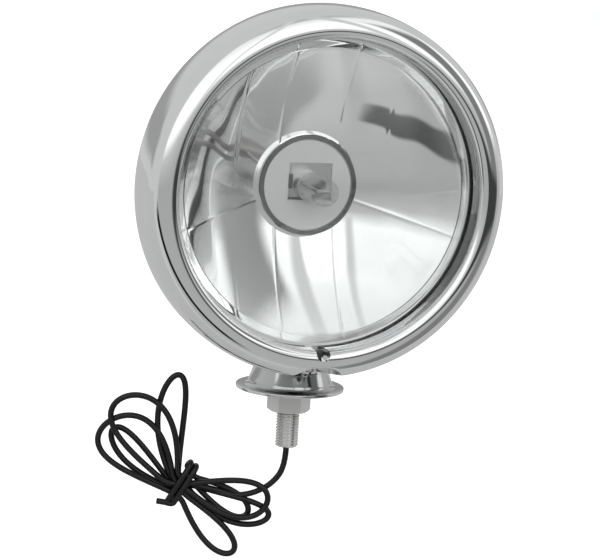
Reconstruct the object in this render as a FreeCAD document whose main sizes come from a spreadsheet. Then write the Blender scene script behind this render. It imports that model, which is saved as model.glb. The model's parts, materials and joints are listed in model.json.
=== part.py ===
import FreeCAD, Part
import math
import os
import re

import Sketcher

# Chrome passing lamp on a hollow bolt: a spherical shell with a rolled trim ring, a domed clear lens,
# a faceted reflector with a forward-pointing halogen capsule, and a bell-shaped foot that sits on a bar.
# Frame: origin at the middle of the foot's seat, on the bolt's axis. +Z is up along the bolt and the
# lamp faces -Y. Head pieces are drawn in a local frame whose Z runs forward along the lamp's axis.

Vector = FreeCAD.Vector
doc = FreeCAD.newDocument("passing_lamp")
sheet = doc.addObject("Spreadsheet::Sheet", "Sizes")

# Driving dimensions, in millimetres and degrees.
SIZES = [
    ("axis_height", 71.5),     # lamp axis above the bar seat
    ("shell_radius", 55.5),    # outside of the spherical shell
    ("shell_wall", 1.2),
    ("flare_back", 12.6),      # where the shell turns out to its mouth, forward of the bolt
    ("bead_back", 14.5),       # rolled bead that carries the trim ring
    ("bead_length", 2.0),
    ("mouth_front", 22.0),     # front edge of the shell
    ("reflector_wall", 1.5),
    ("gasket_wall", 0.9),
    ("gasket_side", 1.5),      # rubber around the lens's edge
    ("gasket_inner", 50.6),
    ("mouth_step", 1.4),       # shell mouth outside the rubber
    ("lens_radius", 56.5),
    ("lens_edge", 3.2),        # thickness of the lens's flat edge
    ("lens_wall", 3.1),
    ("lens_clear", 51.0),      # radius where the dome starts
    ("lens_rise", 8.4),
    ("lip_radius", 51.9),      # inner wall of the trim ring
    ("lip_height", 5.6),       # straight part of that wall
    ("lip_round", 2.7),        # roll from that wall to the front of the ring
    ("crest_round", 7.3),      # roll from the front of the ring to its outside
    ("shoulder_round", 64.6),  # slow curve of the ring's outside
    ("shoulder_angle", 8.09),
    ("ring_rear", 15.0),       # rear edge of the ring, forward of the bolt
    ("ring_wall", 1.0),
    ("notch_width", 4.6),      # drain notch in the ring's lip
    ("notch_depth", 3.6),
    ("dimple_radius", 8.0),    # pressed hollow under the ring for its screw
    ("dimple_bite", 3.39),     # how deep it cuts in at the ring's crest
    ("dimple_slope", 15.0),
    ("screw_slant", 45.0),     # ring screw, degrees below straight ahead
    ("screw_forward", 19.8),
    ("screw_sink", 1.2),       # seat of the head above the ring's lowest line
    ("screw_head_radius", 2.7),
    ("screw_head_height", 1.9),
    ("screw_shank_radius", 1.5),
    ("screw_length", 6.0),
    ("seat_width", 9.0),       # slanted block under the screw's head
    ("seat_height", 1.9),
    ("bowl_spread", 121.6),    # four focal lengths of the reflector
    ("bowl_radius", 50.5),
    ("rib_inner", 10.5),       # facet boundaries across the bowl
    ("rib_outer", 26.0),
    ("rib_slant", 17.0),       # degrees below level of the creases that run to either side
    ("facet_fall", 0.045),     # slope change at the inner boundaries
    ("facet_rise", 0.060),     # slope change at the outer boundaries
    ("facet_drop", 0.035),     # slope change at the slanting creases
    ("rim_wall", 1.5),         # short cylinder that joins bowl and flange
    ("rim_depth", 6.0),
    ("collar_radius", 17.1),
    ("collar_wall", 1.9),
    ("collar_front", 6.9),
    ("collar_depth", 4.4),
    ("plate_front", 6.4),      # face of the bulb plate
    ("plate_wall", 1.0),
    ("window_width", 15.2),
    ("window_height", 12.6),
    ("window_right", 0.8),
    ("window_up", 1.2),
    ("bulb_flange_radius", 11.6),
    ("bulb_flange_wall", 1.2),
    ("bulb_face_wall", 0.6),   # raised face of the bulb's flange inside the window
    ("bulb_face_gap", 0.9),    # its shadow gap at the left and below
    ("sleeve_radius", 5.05),
    ("sleeve_front", 11.5),
    ("base_radius", 6.5),
    ("base_back", 8.0),        # rear of the bulb's base, behind the bolt's plane
    ("capsule_radius", 4.7),
    ("capsule_wall", 0.9),
    ("capsule_front", 29.8),
    ("post_radius", 0.35),
    ("post_spread", 1.7),
    ("filament_front", 22.5),
    ("coil_radius", 0.75),
    ("clip_wall", 0.8),
    ("clip_width", 8.0),
    ("wire_radius", 1.05),
    ("connector_radius", 2.5),
    ("connector_length", 12.0),
    ("connector_back", 14.0),  # connector behind the bolt's axis
    ("connector_drop", 19.5),  # its lower end below the lamp's axis
    ("seat_radius", 18.65),    # flange of the foot
    ("foot_wall", 1.4),
    ("flange_wall", 1.2),
    ("foot_neck", 14.5),       # outside of the bell just above its flange
    ("foot_fillet", 1.6),
    ("foot_rim", 11.8),        # outside of the bell at its top
    ("foot_hollow", 32.0),     # radius of the bell's flank
    ("floor_recess", 0.6),
    ("floor_wall", 2.4),
    ("recess_radius", 9.0),
    ("bolt_radius", 4.0),      # outside of the free thread
    ("thread_depth", 0.4),     # the clamped shank is thinner than the free thread by this
    ("bolt_drop", 20.4),       # bolt below the seat
    ("bolt_bore", 1.8),
    ("bolt_chamfer", 0.6),
    ("hex_flats", 13.0),
    ("head_height", 5.0),
    ("nut_height", 6.5),
    ("nut_turn", 46.0),        # degrees that the nut was run on from flats front and back
    ("lock_wall", 2.0),
    ("lock_radius", 7.4),
    ("lock_gap", 1.2),
    ("saddle_radius", 12.0),
    ("saddle_wall", 2.3),      # thickness of the saddle washer beside the bolt
    ("grommet_radius", 3.4),
    ("grommet_height", 2.0),
    ("grommet_spigot", 3.0),
    ("snug_gap", 0.05),        # between fitted pieces
]
for row, (alias, number) in enumerate(SIZES, start=1):
    sheet.set(f"A{row}", alias)
    sheet.set(f"B{row}", str(number))
    sheet.setAlias(f"B{row}", alias)
doc.recompute()
ALIASES = {alias for alias, _ in SIZES}

# Sizes that several pieces share, written as formulas of the cells.
SHARED = {
    "bead_front": "(bead_back + bead_length)",
    "reflector_face": "(mouth_front + reflector_wall)",
    "lens_back": "(reflector_face + gasket_wall)",
    "lens_face": "(lens_back + lens_edge)",
    "gasket_outer": "(lens_radius + gasket_side)",
    "mouth_radius": "(gasket_outer + mouth_step)",
    "lip_z": "(lens_face + lip_height)",
    "crest_top": "(lip_z + lip_round)",
    "crest_z": "(crest_top - crest_round)",
    "crest_r": "(lip_radius + lip_round)",
    "shoulder_z": "(crest_z - (shoulder_round - crest_round) * sin(shoulder_angle))",
    "shoulder_r": "(crest_r - (shoulder_round - crest_round) * cos(shoulder_angle))",
    "ring_radius": "(shoulder_r + shoulder_round)",
    "ring_inside": "(shoulder_r + sqrt((shoulder_round - ring_wall)^2 - (shoulder_z - ring_rear)^2))",
    "bead_radius": "(ring_inside - 2 * snug_gap)",
    "shell_inner": "(shell_radius - shell_wall)",
    "saddle_round": "(shell_inner - snug_gap)",
    "saddle_face": "(axis_height - saddle_round + saddle_wall)",
    "head_top": "(saddle_face + head_height)",
    "screw_drop": "(ring_radius - screw_sink)",
    "plate_back": "(plate_front - plate_wall)",
    "plate_radius": "(collar_radius - collar_wall - snug_gap)",
    "hex_corner": "(hex_flats / sqrt(3))",
    "lens_round": "((lens_clear^2 + lens_rise^2) / (2 * lens_rise))",
    "nut_top": "(floor_recess - lock_wall)",
    "nut_foot": "(nut_top - nut_height)",
    "connector_foot": "(axis_height - connector_drop)",
    "shank_radius": "(bolt_radius - thread_depth)",
}


def formula(text):
    """The text with shared names written out and each cell's name given its sheet."""
    text = str(text)
    while True:
        grown = re.sub(r"\b[a-z_]+\b", lambda m: SHARED.get(m.group(), m.group()), text)
        if grown == text:
            break
        text = grown
    return re.sub(r"\b[a-z_]+\b", lambda m: "Sizes." + m.group() if m.group() in ALIASES else m.group(), text)


def size(text):
    """The value of a formula now, in millimetres or degrees."""
    found = sheet.evalExpression(formula(text))
    return float(getattr(found, "Value", found))


def bind(thing, prop, text):
    thing.setExpression(prop, formula(text))


def new_body(name):
    body = doc.addObject("PartDesign::Body", name)
    body.Label = name
    return body


FORWARD = FreeCAD.Rotation(Vector(1, 0, 0), 90)


def head_body(name):
    """A body of the lamp's head: local Z points forward from the bolt's plane, local Y up."""
    body = new_body(name)
    body.Placement = FreeCAD.Placement(Vector(0, 0, size("axis_height")), FORWARD)
    bind(body, "Placement.Base.z", "axis_height")
    return body


def plane_of(body, role):
    return next(f for f in body.Origin.OriginFeatures if f.Role == role)


def new_sketch(body, name, role, lift=None):
    sketch = body.newObject("Sketcher::SketchObject", name)
    sketch.AttachmentSupport = [(plane_of(body, role), "")]
    sketch.MapMode = "FlatFace"
    if lift is not None:
        bind(sketch, "AttachmentOffset.Base.z", lift)
    return sketch


def pin_point(sketch, geo, end, x, y):
    """Hold one end of a sketch edge at two formulas, measured from the sketch's origin."""
    for text, kind, axis in ((x, "DistanceX", -2), (y, "DistanceY", -1)):
        if abs(size(text)) < 1e-9:
            sketch.addConstraint(Sketcher.Constraint("PointOnObject", geo, end, axis))
        else:
            number = sketch.addConstraint(Sketcher.Constraint(kind, -1, 1, geo, end, size(text)))
            bind(sketch, f"Constraints[{number}]", text)


def outline(sketch, corners):
    """A closed outline. A corner is (x, y) or, where the edge after it is round, (x, y, radius).

    A positive radius bends the edge to the left of its direction of travel, a negative one to the right.
    """
    spots = [Vector(size(c[0]), size(c[1]), 0) for c in corners]
    starts, ends = [], []
    for i, corner in enumerate(corners):
        a, b = spots[i], spots[(i + 1) % len(spots)]
        if len(corner) == 2:
            geo = sketch.addGeometry(Part.LineSegment(a, b), False)
            starts.append((geo, 1))
            ends.append((geo, 2))
            continue
        radius = size(corner[2])
        chord = b - a
        side = Vector(-chord.y, chord.x, 0).normalize() * math.copysign(1, radius)
        reach = math.sqrt(max(radius**2 - (chord.Length / 2) ** 2, 0))
        centre = (a + b) * 0.5 + side * reach
        turn = [math.atan2(p.y - centre.y, p.x - centre.x) for p in (a, b)]
        if radius < 0:
            turn.reverse()
        circle = Part.Circle(centre, Vector(0, 0, 1), abs(radius))
        geo = sketch.addGeometry(Part.ArcOfCircle(circle, *turn), False)
        starts.append((geo, 1 if radius > 0 else 2))
        ends.append((geo, 2 if radius > 0 else 1))
        number = sketch.addConstraint(Sketcher.Constraint("Radius", geo, abs(radius)))
        bind(sketch, f"Constraints[{number}]", corner[2] if radius > 0 else f"0 - ({corner[2]})")
    for i, corner in enumerate(corners):
        j = (i + 1) % len(corners)
        sketch.addConstraint(Sketcher.Constraint("Coincident", *ends[i], *starts[j]))
        pin_point(sketch, *starts[i], corner[0], corner[1])


def circle_in(sketch, radius, x="0", y="0"):
    geo = sketch.addGeometry(Part.Circle(Vector(size(x), size(y), 0), Vector(0, 0, 1), size(radius)), False)
    number = sketch.addConstraint(Sketcher.Constraint("Radius", geo, size(radius)))
    bind(sketch, f"Constraints[{number}]", radius)
    pin_point(sketch, geo, 3, x, y)


def rectangle_in(sketch, left, right, low, high):
    outline(sketch, [(left, low), (right, low), (right, high), (left, high)])


def hexagon_in(sketch, corner):
    """A regular hexagon about the origin with two flats facing front and back."""
    half, rise = f"({corner} / 2)", f"({corner} * sqrt(3) / 2)"
    outline(sketch, [(corner, "0"), (half, rise), (f"0 - {half}", rise),
                     (f"0 - {corner}", "0"), (f"0 - {half}", f"0 - {rise}"), (half, f"0 - {rise}")])


def turned(body, name, kind, corners):
    """Turn an outline of (radius, height) corners about the body's Z axis, to add or to cut."""
    sketch = new_sketch(body, name + "_section", "XZ_Plane")
    outline(sketch, corners)
    feature = body.newObject("PartDesign::" + kind, name)
    feature.Profile = sketch
    feature.ReferenceAxis = (sketch, ["V_Axis"])
    feature.Angle = 360
    return feature


def pad(body, name, sketch, length, midplane=False):
    raised = body.newObject("PartDesign::Pad", name)
    raised.Profile = sketch
    bind(raised, "Length", length)
    raised.Midplane = midplane
    return raised


def pocket(body, name, sketch, length, away=False):
    """Cut a sketch out of the body and make sure that it removed something."""
    doc.recompute()
    before = body.Shape.Volume
    cut = body.newObject("PartDesign::Pocket", name)
    cut.Profile = sketch
    bind(cut, "Length", length)
    cut.Reversed = away
    doc.recompute()
    if body.Shape.Volume > before - 1e-3:
        raise RuntimeError(name + " cuts nothing")
    return cut


def joined(kind, name, base, tool):
    """A boolean of two objects under a name: Cut, Fuse or Common."""
    result = doc.addObject("Part::" + kind, name)
    result.Label = name
    result.Base, result.Tool = base, tool
    return result


def rod(name, radius, length):
    bar = doc.addObject("Part::Cylinder", name)
    bind(bar, "Radius", radius)
    bind(bar, "Height", length)
    return bar


def on_slope(thing, angle, forward, drop, along):
    """Point an object's Z axis ahead and down by an angle, from a spot ahead of and below the lamp's axis."""
    thing.Placement = FreeCAD.Placement(Vector(0, 0, 0), FreeCAD.Rotation(Vector(1, 0, 0), 90 + size(angle)))
    bind(thing, "Placement.Rotation.Angle", f"90 + {angle}")
    bind(thing, "Placement.Base.y", f"0 - {forward} - ({along}) * cos({angle})")
    bind(thing, "Placement.Base.z", f"axis_height - ({drop}) - ({along}) * sin({angle})")


def on_screw(thing, along):
    on_slope(thing, "screw_slant", "screw_forward", "screw_drop", along)


def in_dimple(thing, forward):
    """Lay a rod along the dimple, so that its upper side runs back and down from the ring's crest."""
    drop = "ring_radius - dimple_bite + dimple_radius / cos(dimple_slope)"
    on_slope(thing, "(0 - dimple_slope)", "crest_z", drop, f"({forward} - crest_z) / cos(dimple_slope)")


def wire_tube(name, points, radii):
    """A round lead along straight runs with a tangent arc of the given radius at each inner corner."""
    spots = [Vector(*p) for p in points]
    edges, last = [], spots[0]
    for before, corner, after, radius in zip(spots, spots[1:], spots[2:], radii):
        back, ahead = (before - corner).normalize(), (after - corner).normalize()
        turn = math.pi - back.getAngle(ahead)
        trim = radius * math.tan(turn / 2)
        middle = corner + (back + ahead).normalize() * (radius / math.cos(turn / 2) - radius)
        start, end = corner + back * trim, corner + ahead * trim
        edges += [Part.LineSegment(last, start).toShape(), Part.Arc(start, middle, end).toShape()]
        last = end
    edges.append(Part.LineSegment(last, spots[-1]).toShape())
    path = Part.Wire(edges)
    ring = Part.Wire(Part.Circle(spots[0], spots[1] - spots[0], size("wire_radius")).toShape())
    shape = path.makePipeShell([ring], True, False)
    if abs(shape.Volume / (math.pi * size("wire_radius") ** 2 * path.Length) - 1) > 0.01:
        raise RuntimeError(name + " has a kink")
    return shape


def feature_of(name, shape):
    thing = doc.addObject("Part::Feature", name)
    thing.Label = name
    thing.Shape = shape
    return thing


# Rear shell: a spherical bowl with a flared mouth, a bead for the trim ring and a hole for the bolt.
def rear_shell():
    bowl = head_body("shell_bowl")
    turned(bowl, "bowl_turn", "Revolution", [
        ("0", "0 - shell_radius", "shell_radius"),
        ("sqrt(shell_radius^2 - flare_back^2)", "flare_back"),
        ("bead_radius", "bead_back"),
        ("bead_radius", "bead_front"),
        ("mouth_radius", "bead_front"),
        ("mouth_radius", "mouth_front"),
        ("mouth_radius - shell_wall", "mouth_front"),
        ("mouth_radius - shell_wall", "bead_back + shell_wall"),
        ("sqrt(shell_inner^2 - (flare_back + shell_wall)^2)", "flare_back + shell_wall", "0 - shell_inner"),
        ("0", "0 - shell_inner"),
    ])
    hole = new_sketch(bowl, "bolt_hole_outline", "XZ_Plane")
    circle_in(hole, "bolt_radius + 2 * snug_gap")
    pocket(bowl, "bolt_hole", hole, "shell_radius + shell_wall", away=True)
    passage = rod("screw_passage", "screw_shank_radius + snug_gap", "screw_length + 2 * snug_gap")
    on_screw(passage, "0 - screw_length - snug_gap")
    return joined("Cut", "rear_shell", bowl, passage)


# Trim ring: one rolled C section with a drain notch in its lip and a pressed dimple for its screw.
def ring_profile(rear):
    """The ring's outside, from its rear edge over the shoulder and the crest to the lip."""
    return [
        ("shoulder_r + sqrt(shoulder_round^2 - (shoulder_z - ring_rear)^2)", "ring_rear", "shoulder_round"),
        ("crest_r + crest_round * cos(shoulder_angle)", "crest_z + crest_round * sin(shoulder_angle)",
         "crest_round"),
        ("crest_r", "crest_top", "lip_round"),
        ("lip_radius", "lip_z"),
        ("lip_radius", rear),
    ]


def trim_ring():
    ring = head_body("ring_roll")
    roll = "(crest_round - ring_wall)"
    turned(ring, "ring_turn", "Revolution", ring_profile("lens_face") + [
        ("lip_radius + ring_wall", "lens_face"),
        ("lip_radius + ring_wall", "lip_z", "ring_wall - lip_round"),
        ("crest_r", "crest_top - ring_wall", f"0 - {roll}"),
        (f"crest_r + {roll} * cos(shoulder_angle)", f"crest_z + {roll} * sin(shoulder_angle)",
         "ring_wall - shoulder_round"),
        ("ring_inside", "ring_rear"),
    ])
    notch = new_sketch(ring, "notch_outline", "XY_Plane", "lens_face - ring_wall")
    half = "(notch_width / 2)"
    floor = f"(0 - lip_radius - notch_depth + {half})"
    outline(notch, [(f"0 - {half}", floor, f"{half} * 1.03"), (half, floor),
                    (half, "notch_width - lip_radius"), (f"0 - {half}", "notch_width - lip_radius")])
    pocket(ring, "drain_notch", notch, "ring_wall + lip_height + 2 * lip_round", away=True)

    filled = head_body("ring_filled")
    turned(filled, "fill_turn", "Revolution", ring_profile("ring_rear"))
    sheet_rod = rod("dimple_sheet", "dimple_radius + ring_wall", "crest_top + crest_round - bead_front")
    in_dimple(sheet_rod, "(bead_front + 4 * ring_wall)")
    pressed = joined("Common", "dimple_pressing", filled, sheet_rod)
    dimpled = joined("Fuse", "ring_and_dimple", ring, pressed)
    hollow = rod("dimple_hollow", "dimple_radius", "crest_top + 3 * crest_round - ring_rear")
    in_dimple(hollow, "(ring_rear - crest_round)")
    opened = joined("Cut", "ring_opened", dimpled, hollow)
    passage = rod("ring_passage", "screw_shank_radius + snug_gap", "2 * screw_length")
    on_screw(passage, "0 - screw_length")
    drilled = joined("Cut", "ring_drilled", opened, passage)
    room = rod("head_room", "screw_head_radius + 4 * snug_gap", "2 * screw_head_height")
    on_screw(room, "0")
    return joined("Cut", "trim_ring", drilled, room), hollow, passage


# Screw seat: block in the dimple with a slanted face under the screw's head.
def screw_seat(hollow, passage):
    body = head_body("seat_block")
    side = new_sketch(body, "seat_outline", "YZ_Plane")
    rear = "(screw_forward - seat_height - screw_sink)"
    outline(side, [
        ("0 - screw_drop + 2 * seat_height", "screw_forward + 2 * seat_height"),
        ("0 - screw_drop + 2 * seat_height", rear),
        ("0 - screw_drop - seat_height", rear),
        ("0 - screw_drop - seat_height", "screw_forward - seat_height"),
    ])
    pad(body, "seat_pad", side, "seat_width", midplane=True)
    fitted = joined("Common", "seat_fitted", body, hollow)
    return joined("Cut", "screw_seat", fitted, passage)


# Ring screw: pan head with a cross recess.
def ring_screw():
    body = new_body("ring_screw")
    turned(body, "screw_turn", "Revolution", [
        ("0", "0 - screw_length"), ("screw_shank_radius", "0 - screw_length"), ("screw_shank_radius", "0"),
        ("screw_head_radius", "0"), ("screw_head_radius", "screw_head_height * 0.45", "screw_head_radius * 1.6"),
        ("screw_head_radius * 0.4", "screw_head_height"), ("0", "screw_head_height"),
    ])
    bar, reach = "(screw_head_radius * 0.16)", "(screw_head_radius * 0.62)"
    for name, wide, tall in (("cross_level", reach, bar), ("cross_upright", bar, reach)):
        slot = new_sketch(body, name + "_outline", "XY_Plane", "screw_head_height")
        rectangle_in(slot, f"0 - {wide}", wide, f"0 - {tall}", tall)
        pocket(body, name, slot, "screw_head_height * 0.55")
    on_screw(body, "0")
    return body


# Lens: clear domed glass with a flat edge under the ring's lip.
def lens():
    body = head_body("lens")
    inner = "(lens_round - lens_wall)"
    inner_edge = "(lens_clear - lens_wall)"
    centre = "(lens_face + lens_rise - lens_round)"
    turned(body, "lens_turn", "Revolution", [
        ("0", f"{centre} + {inner}", f"0 - {inner}"),
        (inner_edge, f"{centre} + sqrt({inner}^2 - {inner_edge}^2)"),
        (inner_edge, "lens_back"),
        ("lens_radius", "lens_back"),
        ("lens_radius", "lens_face"),
        ("lens_clear", "lens_face", "lens_round"),
        ("0", "lens_face + lens_rise"),
    ])
    return body


# Gasket: rubber of L section under and around the lens's edge.
def lens_gasket():
    body = head_body("lens_gasket")
    turned(body, "gasket_turn", "Revolution", [
        ("gasket_inner", "reflector_face"),
        ("gasket_outer", "reflector_face"),
        ("gasket_outer", "lens_face"),
        ("lens_radius", "lens_face"),
        ("lens_radius", "lens_back"),
        ("gasket_inner", "lens_back"),
    ])
    return body


# Reflector: one parabola in ten facets. Each facet adds a steady slope to it, so it is the same parabola
# with its own shifted axis, and neighbours meet in creases without a step.
def facet_dish(corners, slope_x, slope_y, height):
    """A dish z = height + (x^2 + y^2) / spread + slope_x * x + slope_y * y with the reflector's wall below it.

    A square in x and y is exact in nine poles. A pole's square is that of the two ends it blends.
    """
    spread = size("bowl_spread")
    patch = Part.BezierSurface()
    patch.increase(2, 2)
    ends = [(min(c[k] for c in corners), max(c[k] for c in corners)) for k in (0, 1)]
    across, along = [[(a, a * a), ((a + b) / 2, a * b), (b, b * b)] for a, b in ends]
    for i, (x, xx) in enumerate(across, start=1):
        for j, (y, yy) in enumerate(along, start=1):
            z = height + (xx + yy) / spread + slope_x * x + slope_y * y
            patch.setPole(i, j, Vector(x, y, z))
    return patch.toShape().extrude(Vector(0, 0, -size("reflector_wall")))


def facets():
    """Each facet's outline, added slopes and height on the axis."""
    inner, outer, edge = size("rib_inner"), size("rib_outer"), size("bowl_radius + rim_wall")
    fall, rise, drop = size("facet_fall"), size("facet_rise"), size("facet_drop")
    slant = math.tan(math.radians(size("rib_slant")))
    found = []
    for left, right, slope, level in ((-inner, inner, 0.0, 0.0), (inner, outer, -fall, fall * inner),
                                      (outer, edge, rise - fall, fall * inner - rise * outer)):
        tilt = 0.0 if left < 0 else slant
        hinge = inner * slant if left < 0 else 0.0
        split = [(x, -(hinge + tilt * x)) for x in (left, right)]
        upper = [split[0], split[1], (right, edge), (left, edge)]
        lower = [(left, -edge), (right, -edge), split[1], split[0]]
        for side in ((1,) if left < 0 else (1, -1)):
            for corners, slope_x, slope_y, high in (
                    (upper, slope, 0.0, level),
                    (lower, slope + drop * tilt, drop, level + drop * hinge)):
                found.append(([(side * x, y) for x, y in corners], side * slope_x, slope_y, high))
    return found


def reflector():
    edge, wall, face = size("bowl_radius"), size("rim_wall"), size("reflector_face")
    deep = 4 * edge
    level = face - edge**2 / size("bowl_spread")
    cells = []
    for corners, slope_x, slope_y, high in facets():
        spots = [Vector(x, y, -edge) for x, y in corners]
        prism = Part.Face(Part.makePolygon(spots + spots[:1])).extrude(Vector(0, 0, deep))
        cells.append(facet_dish(corners, slope_x, slope_y, level + high).common(prism))
    outer, inner = size("collar_radius"), size("collar_radius - collar_wall")

    def ring(large, small, low, tall):
        return Part.makeCylinder(large, tall, Vector(0, 0, low)).cut(
            Part.makeCylinder(small, deep, Vector(0, 0, low - edge)))

    collar_foot = min(size("collar_front - collar_depth"), level)
    bowl = cells[0].multiFuse(cells[1:])
    bowl = bowl.common(ring(edge + wall / 2, inner, face - 1.5 * edge, 1.5 * edge))
    shape = bowl.multiFuse([
        ring(edge + wall, edge, face - size("rim_depth"), size("rim_depth")),
        ring(size("mouth_radius"), edge, size("mouth_front"), size("reflector_wall")),
        ring(outer, inner, collar_foot, size("collar_front") - collar_foot),
    ]).removeSplitter()
    piece = feature_of("reflector", shape)
    piece.Placement = FreeCAD.Placement(Vector(0, 0, size("axis_height")), FORWARD)
    return piece


# Bulb plate: flat disc in the reflector's collar with a window for the bulb.
WINDOW = ("window_right - window_width / 2", "window_right + window_width / 2",
          "window_up - window_height / 2", "window_up + window_height / 2")


def bulb_plate():
    body = head_body("bulb_plate")
    face = new_sketch(body, "plate_face", "XY_Plane", "plate_back")
    circle_in(face, "plate_radius")
    rectangle_in(face, *WINDOW)
    pad(body, "plate_pad", face, "plate_wall")
    return body


# Bulb base: flange with a raised face in the window, front sleeve and rear insulator.
def bulb_base():
    body = head_body("bulb_base")
    flange_back = "(plate_back - bulb_flange_wall)"
    turned(body, "base_turn", "Revolution", [
        ("0", "0 - base_back"), ("base_radius", "0 - base_back"), ("base_radius", flange_back),
        ("bulb_flange_radius", flange_back), ("bulb_flange_radius", "plate_back"),
        ("sleeve_radius", "plate_back"), ("sleeve_radius", "sleeve_front"),
        ("capsule_radius + snug_gap", "sleeve_front"), ("capsule_radius + snug_gap", "plate_front"),
        ("0", "plate_front"),
    ])
    raised = new_sketch(body, "raised_outline", "XY_Plane", "plate_back")
    left, right, low, high = WINDOW
    rectangle_in(raised, f"{left} + bulb_face_gap", f"{right} - 2 * snug_gap", f"{low} + bulb_face_gap",
                 f"{high} - 2 * snug_gap")
    pad(body, "raised_pad", raised, "bulb_face_wall")
    return body


# Bulb capsule: quartz tube closed by a round tip.
def bulb_glass():
    body = head_body("bulb_glass")
    bore = "(capsule_radius - capsule_wall)"
    shoulder = "(capsule_front - capsule_radius)"
    turned(body, "capsule_turn", "Revolution", [
        ("capsule_radius", "plate_front"), ("capsule_radius", shoulder, "capsule_radius"),
        ("0", "capsule_front"), ("0", "capsule_front - capsule_wall", f"0 - {bore}"),
        (bore, shoulder), (bore, "plate_front"),
    ])
    return body


# Filament: coil across the capsule, carried by two posts.
def bulb_filament():
    pieces = []
    for name, side in (("post_left", "0 - post_spread"), ("post_right", "post_spread")):
        post = rod(name, "post_radius", "filament_front - plate_front")
        post.Placement = FreeCAD.Placement(Vector(0, 0, 0), FORWARD)
        bind(post, "Placement.Base.x", side)
        bind(post, "Placement.Base.y", "0 - plate_front")
        bind(post, "Placement.Base.z", "axis_height")
        pieces.append(post)
    coil = rod("filament_coil", "coil_radius", "2 * (post_spread + 2 * post_radius)")
    coil.Placement = FreeCAD.Placement(Vector(0, 0, 0), FreeCAD.Rotation(Vector(0, 1, 0), 90))
    bind(coil, "Placement.Base.x", "0 - (post_spread + 2 * post_radius)")
    bind(coil, "Placement.Base.y", "0 - filament_front")
    bind(coil, "Placement.Base.z", "axis_height")
    whole = doc.addObject("Part::MultiFuse", "bulb_filament")
    whole.Label = "bulb_filament"
    whole.Shapes = [coil] + pieces
    return whole


# Bulb clip: flat spring behind the bulb's flange, held at both ends by the collar.
def bulb_clip():
    body = head_body("bulb_clip")
    strip = new_sketch(body, "clip_outline", "XY_Plane", "plate_back - bulb_flange_wall - clip_wall")
    reach = "(sqrt((collar_radius - collar_wall)^2 - clip_width^2))"
    bow = "(collar_radius - collar_wall)"
    outline(strip, [(f"0 - {reach}", "0 - clip_width"), (reach, "0 - clip_width", bow),
                    (reach, "clip_width"), (f"0 - {reach}", "clip_width", bow)])
    circle_in(strip, "base_radius + snug_gap")
    pad(body, "clip_pad", strip, "clip_wall")
    return body


# Leads inside the head: from the bulb back to a push-on connector, and from there down through the bolt.
def lead_connector():
    sleeve = rod("lead_connector", "connector_radius", "connector_length")
    sleeve.Label = "lead_connector"
    bind(sleeve, "Placement.Base.y", "connector_back")
    bind(sleeve, "Placement.Base.z", "connector_foot")
    return sleeve


def bulb_lead():
    back, rear = size("connector_back"), size("base_back")
    spots = [(0, back, size("connector_foot + connector_length")), (0, back, size("axis_height")),
             (0, rear, size("axis_height"))]
    return feature_of("bulb_lead", wire_tube("bulb_lead", spots, [(back - rear) * 0.85]))


def supply_lead():
    back, foot, top = size("connector_back"), size("connector_foot"), size("head_top + grommet_height")
    rise = foot - top
    spots = [(0, 0, -size("bolt_drop")), (0, 0, top + 0.25 * rise), (0, back, foot - 0.25 * rise), (0, back, foot)]
    turn = math.atan2(back, 0.5 * rise)
    bend = 0.9 * 0.25 * rise / math.tan(turn / 2)
    return feature_of("supply_lead", wire_tube("supply_lead", spots, [bend, bend]))


# Foot: bell-shaped skirt with a flange for the bar and a floor that the nut clamps.
def mount_skirt():
    body = new_body("mount_skirt")
    bore = "(bolt_radius + snug_gap)"
    rim_inner = "(foot_rim - foot_wall)"
    neck_inner = "(foot_neck - foot_wall)"
    floor_top = "(floor_recess + floor_wall)"
    neck_height = "(flange_wall + foot_fillet)"

    def under_shell(radius):
        return f"axis_height - sqrt((shell_radius + snug_gap)^2 - {radius}^2)"

    turned(body, "skirt_turn", "Revolution", [
        (bore, "floor_recess"), ("recess_radius", "floor_recess"),
        ("recess_radius", "0"), ("seat_radius - flange_wall * 0.25", "0"),
        ("seat_radius", "flange_wall * 0.25"), ("seat_radius", "flange_wall * 0.75"),
        ("seat_radius - flange_wall * 0.25", "flange_wall"),
        ("foot_neck + foot_fillet", "flange_wall", "0 - foot_fillet"),
        ("foot_neck", neck_height, "0 - foot_hollow"),
        ("foot_rim", under_shell("foot_rim")),
        (rim_inner, under_shell(rim_inner), "foot_hollow + foot_wall"),
        (neck_inner, f"{floor_top} + flange_wall"),
        (neck_inner, floor_top), (bore, floor_top),
    ])
    return body


# Bolt: hollow, with its hexagon head inside the shell.
def hollow_bolt():
    body = new_body("hollow_bolt")
    head = new_sketch(body, "head_outline", "XY_Plane", "saddle_face")
    hexagon_in(head, "hex_corner")
    pad(body, "head_pad", head, "head_height")
    turned(body, "shank_turn", "Revolution", [
        ("0", "0 - bolt_drop"), ("bolt_radius - bolt_chamfer", "0 - bolt_drop"),
        ("bolt_radius", "bolt_chamfer - bolt_drop"), ("bolt_radius", "nut_foot"),
        ("shank_radius", "nut_foot"), ("shank_radius", "saddle_face + bolt_chamfer"),
        ("0", "saddle_face + bolt_chamfer"),
    ])
    corner = "(hex_corner + snug_gap)"
    turned(body, "head_chamfer", "Groove", [
        ("hex_flats / 2", "head_top"), (corner, "head_top"),
        (corner, f"head_top - ({corner} - hex_flats / 2) * tan(30)"),
    ])
    turned(body, "bolt_passage", "Groove", [
        ("0", "0 - bolt_drop - bolt_chamfer"), ("bolt_bore", "0 - bolt_drop - bolt_chamfer"),
        ("bolt_bore", "head_top + bolt_chamfer"), ("0", "head_top + bolt_chamfer"),
    ])
    return body


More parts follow.
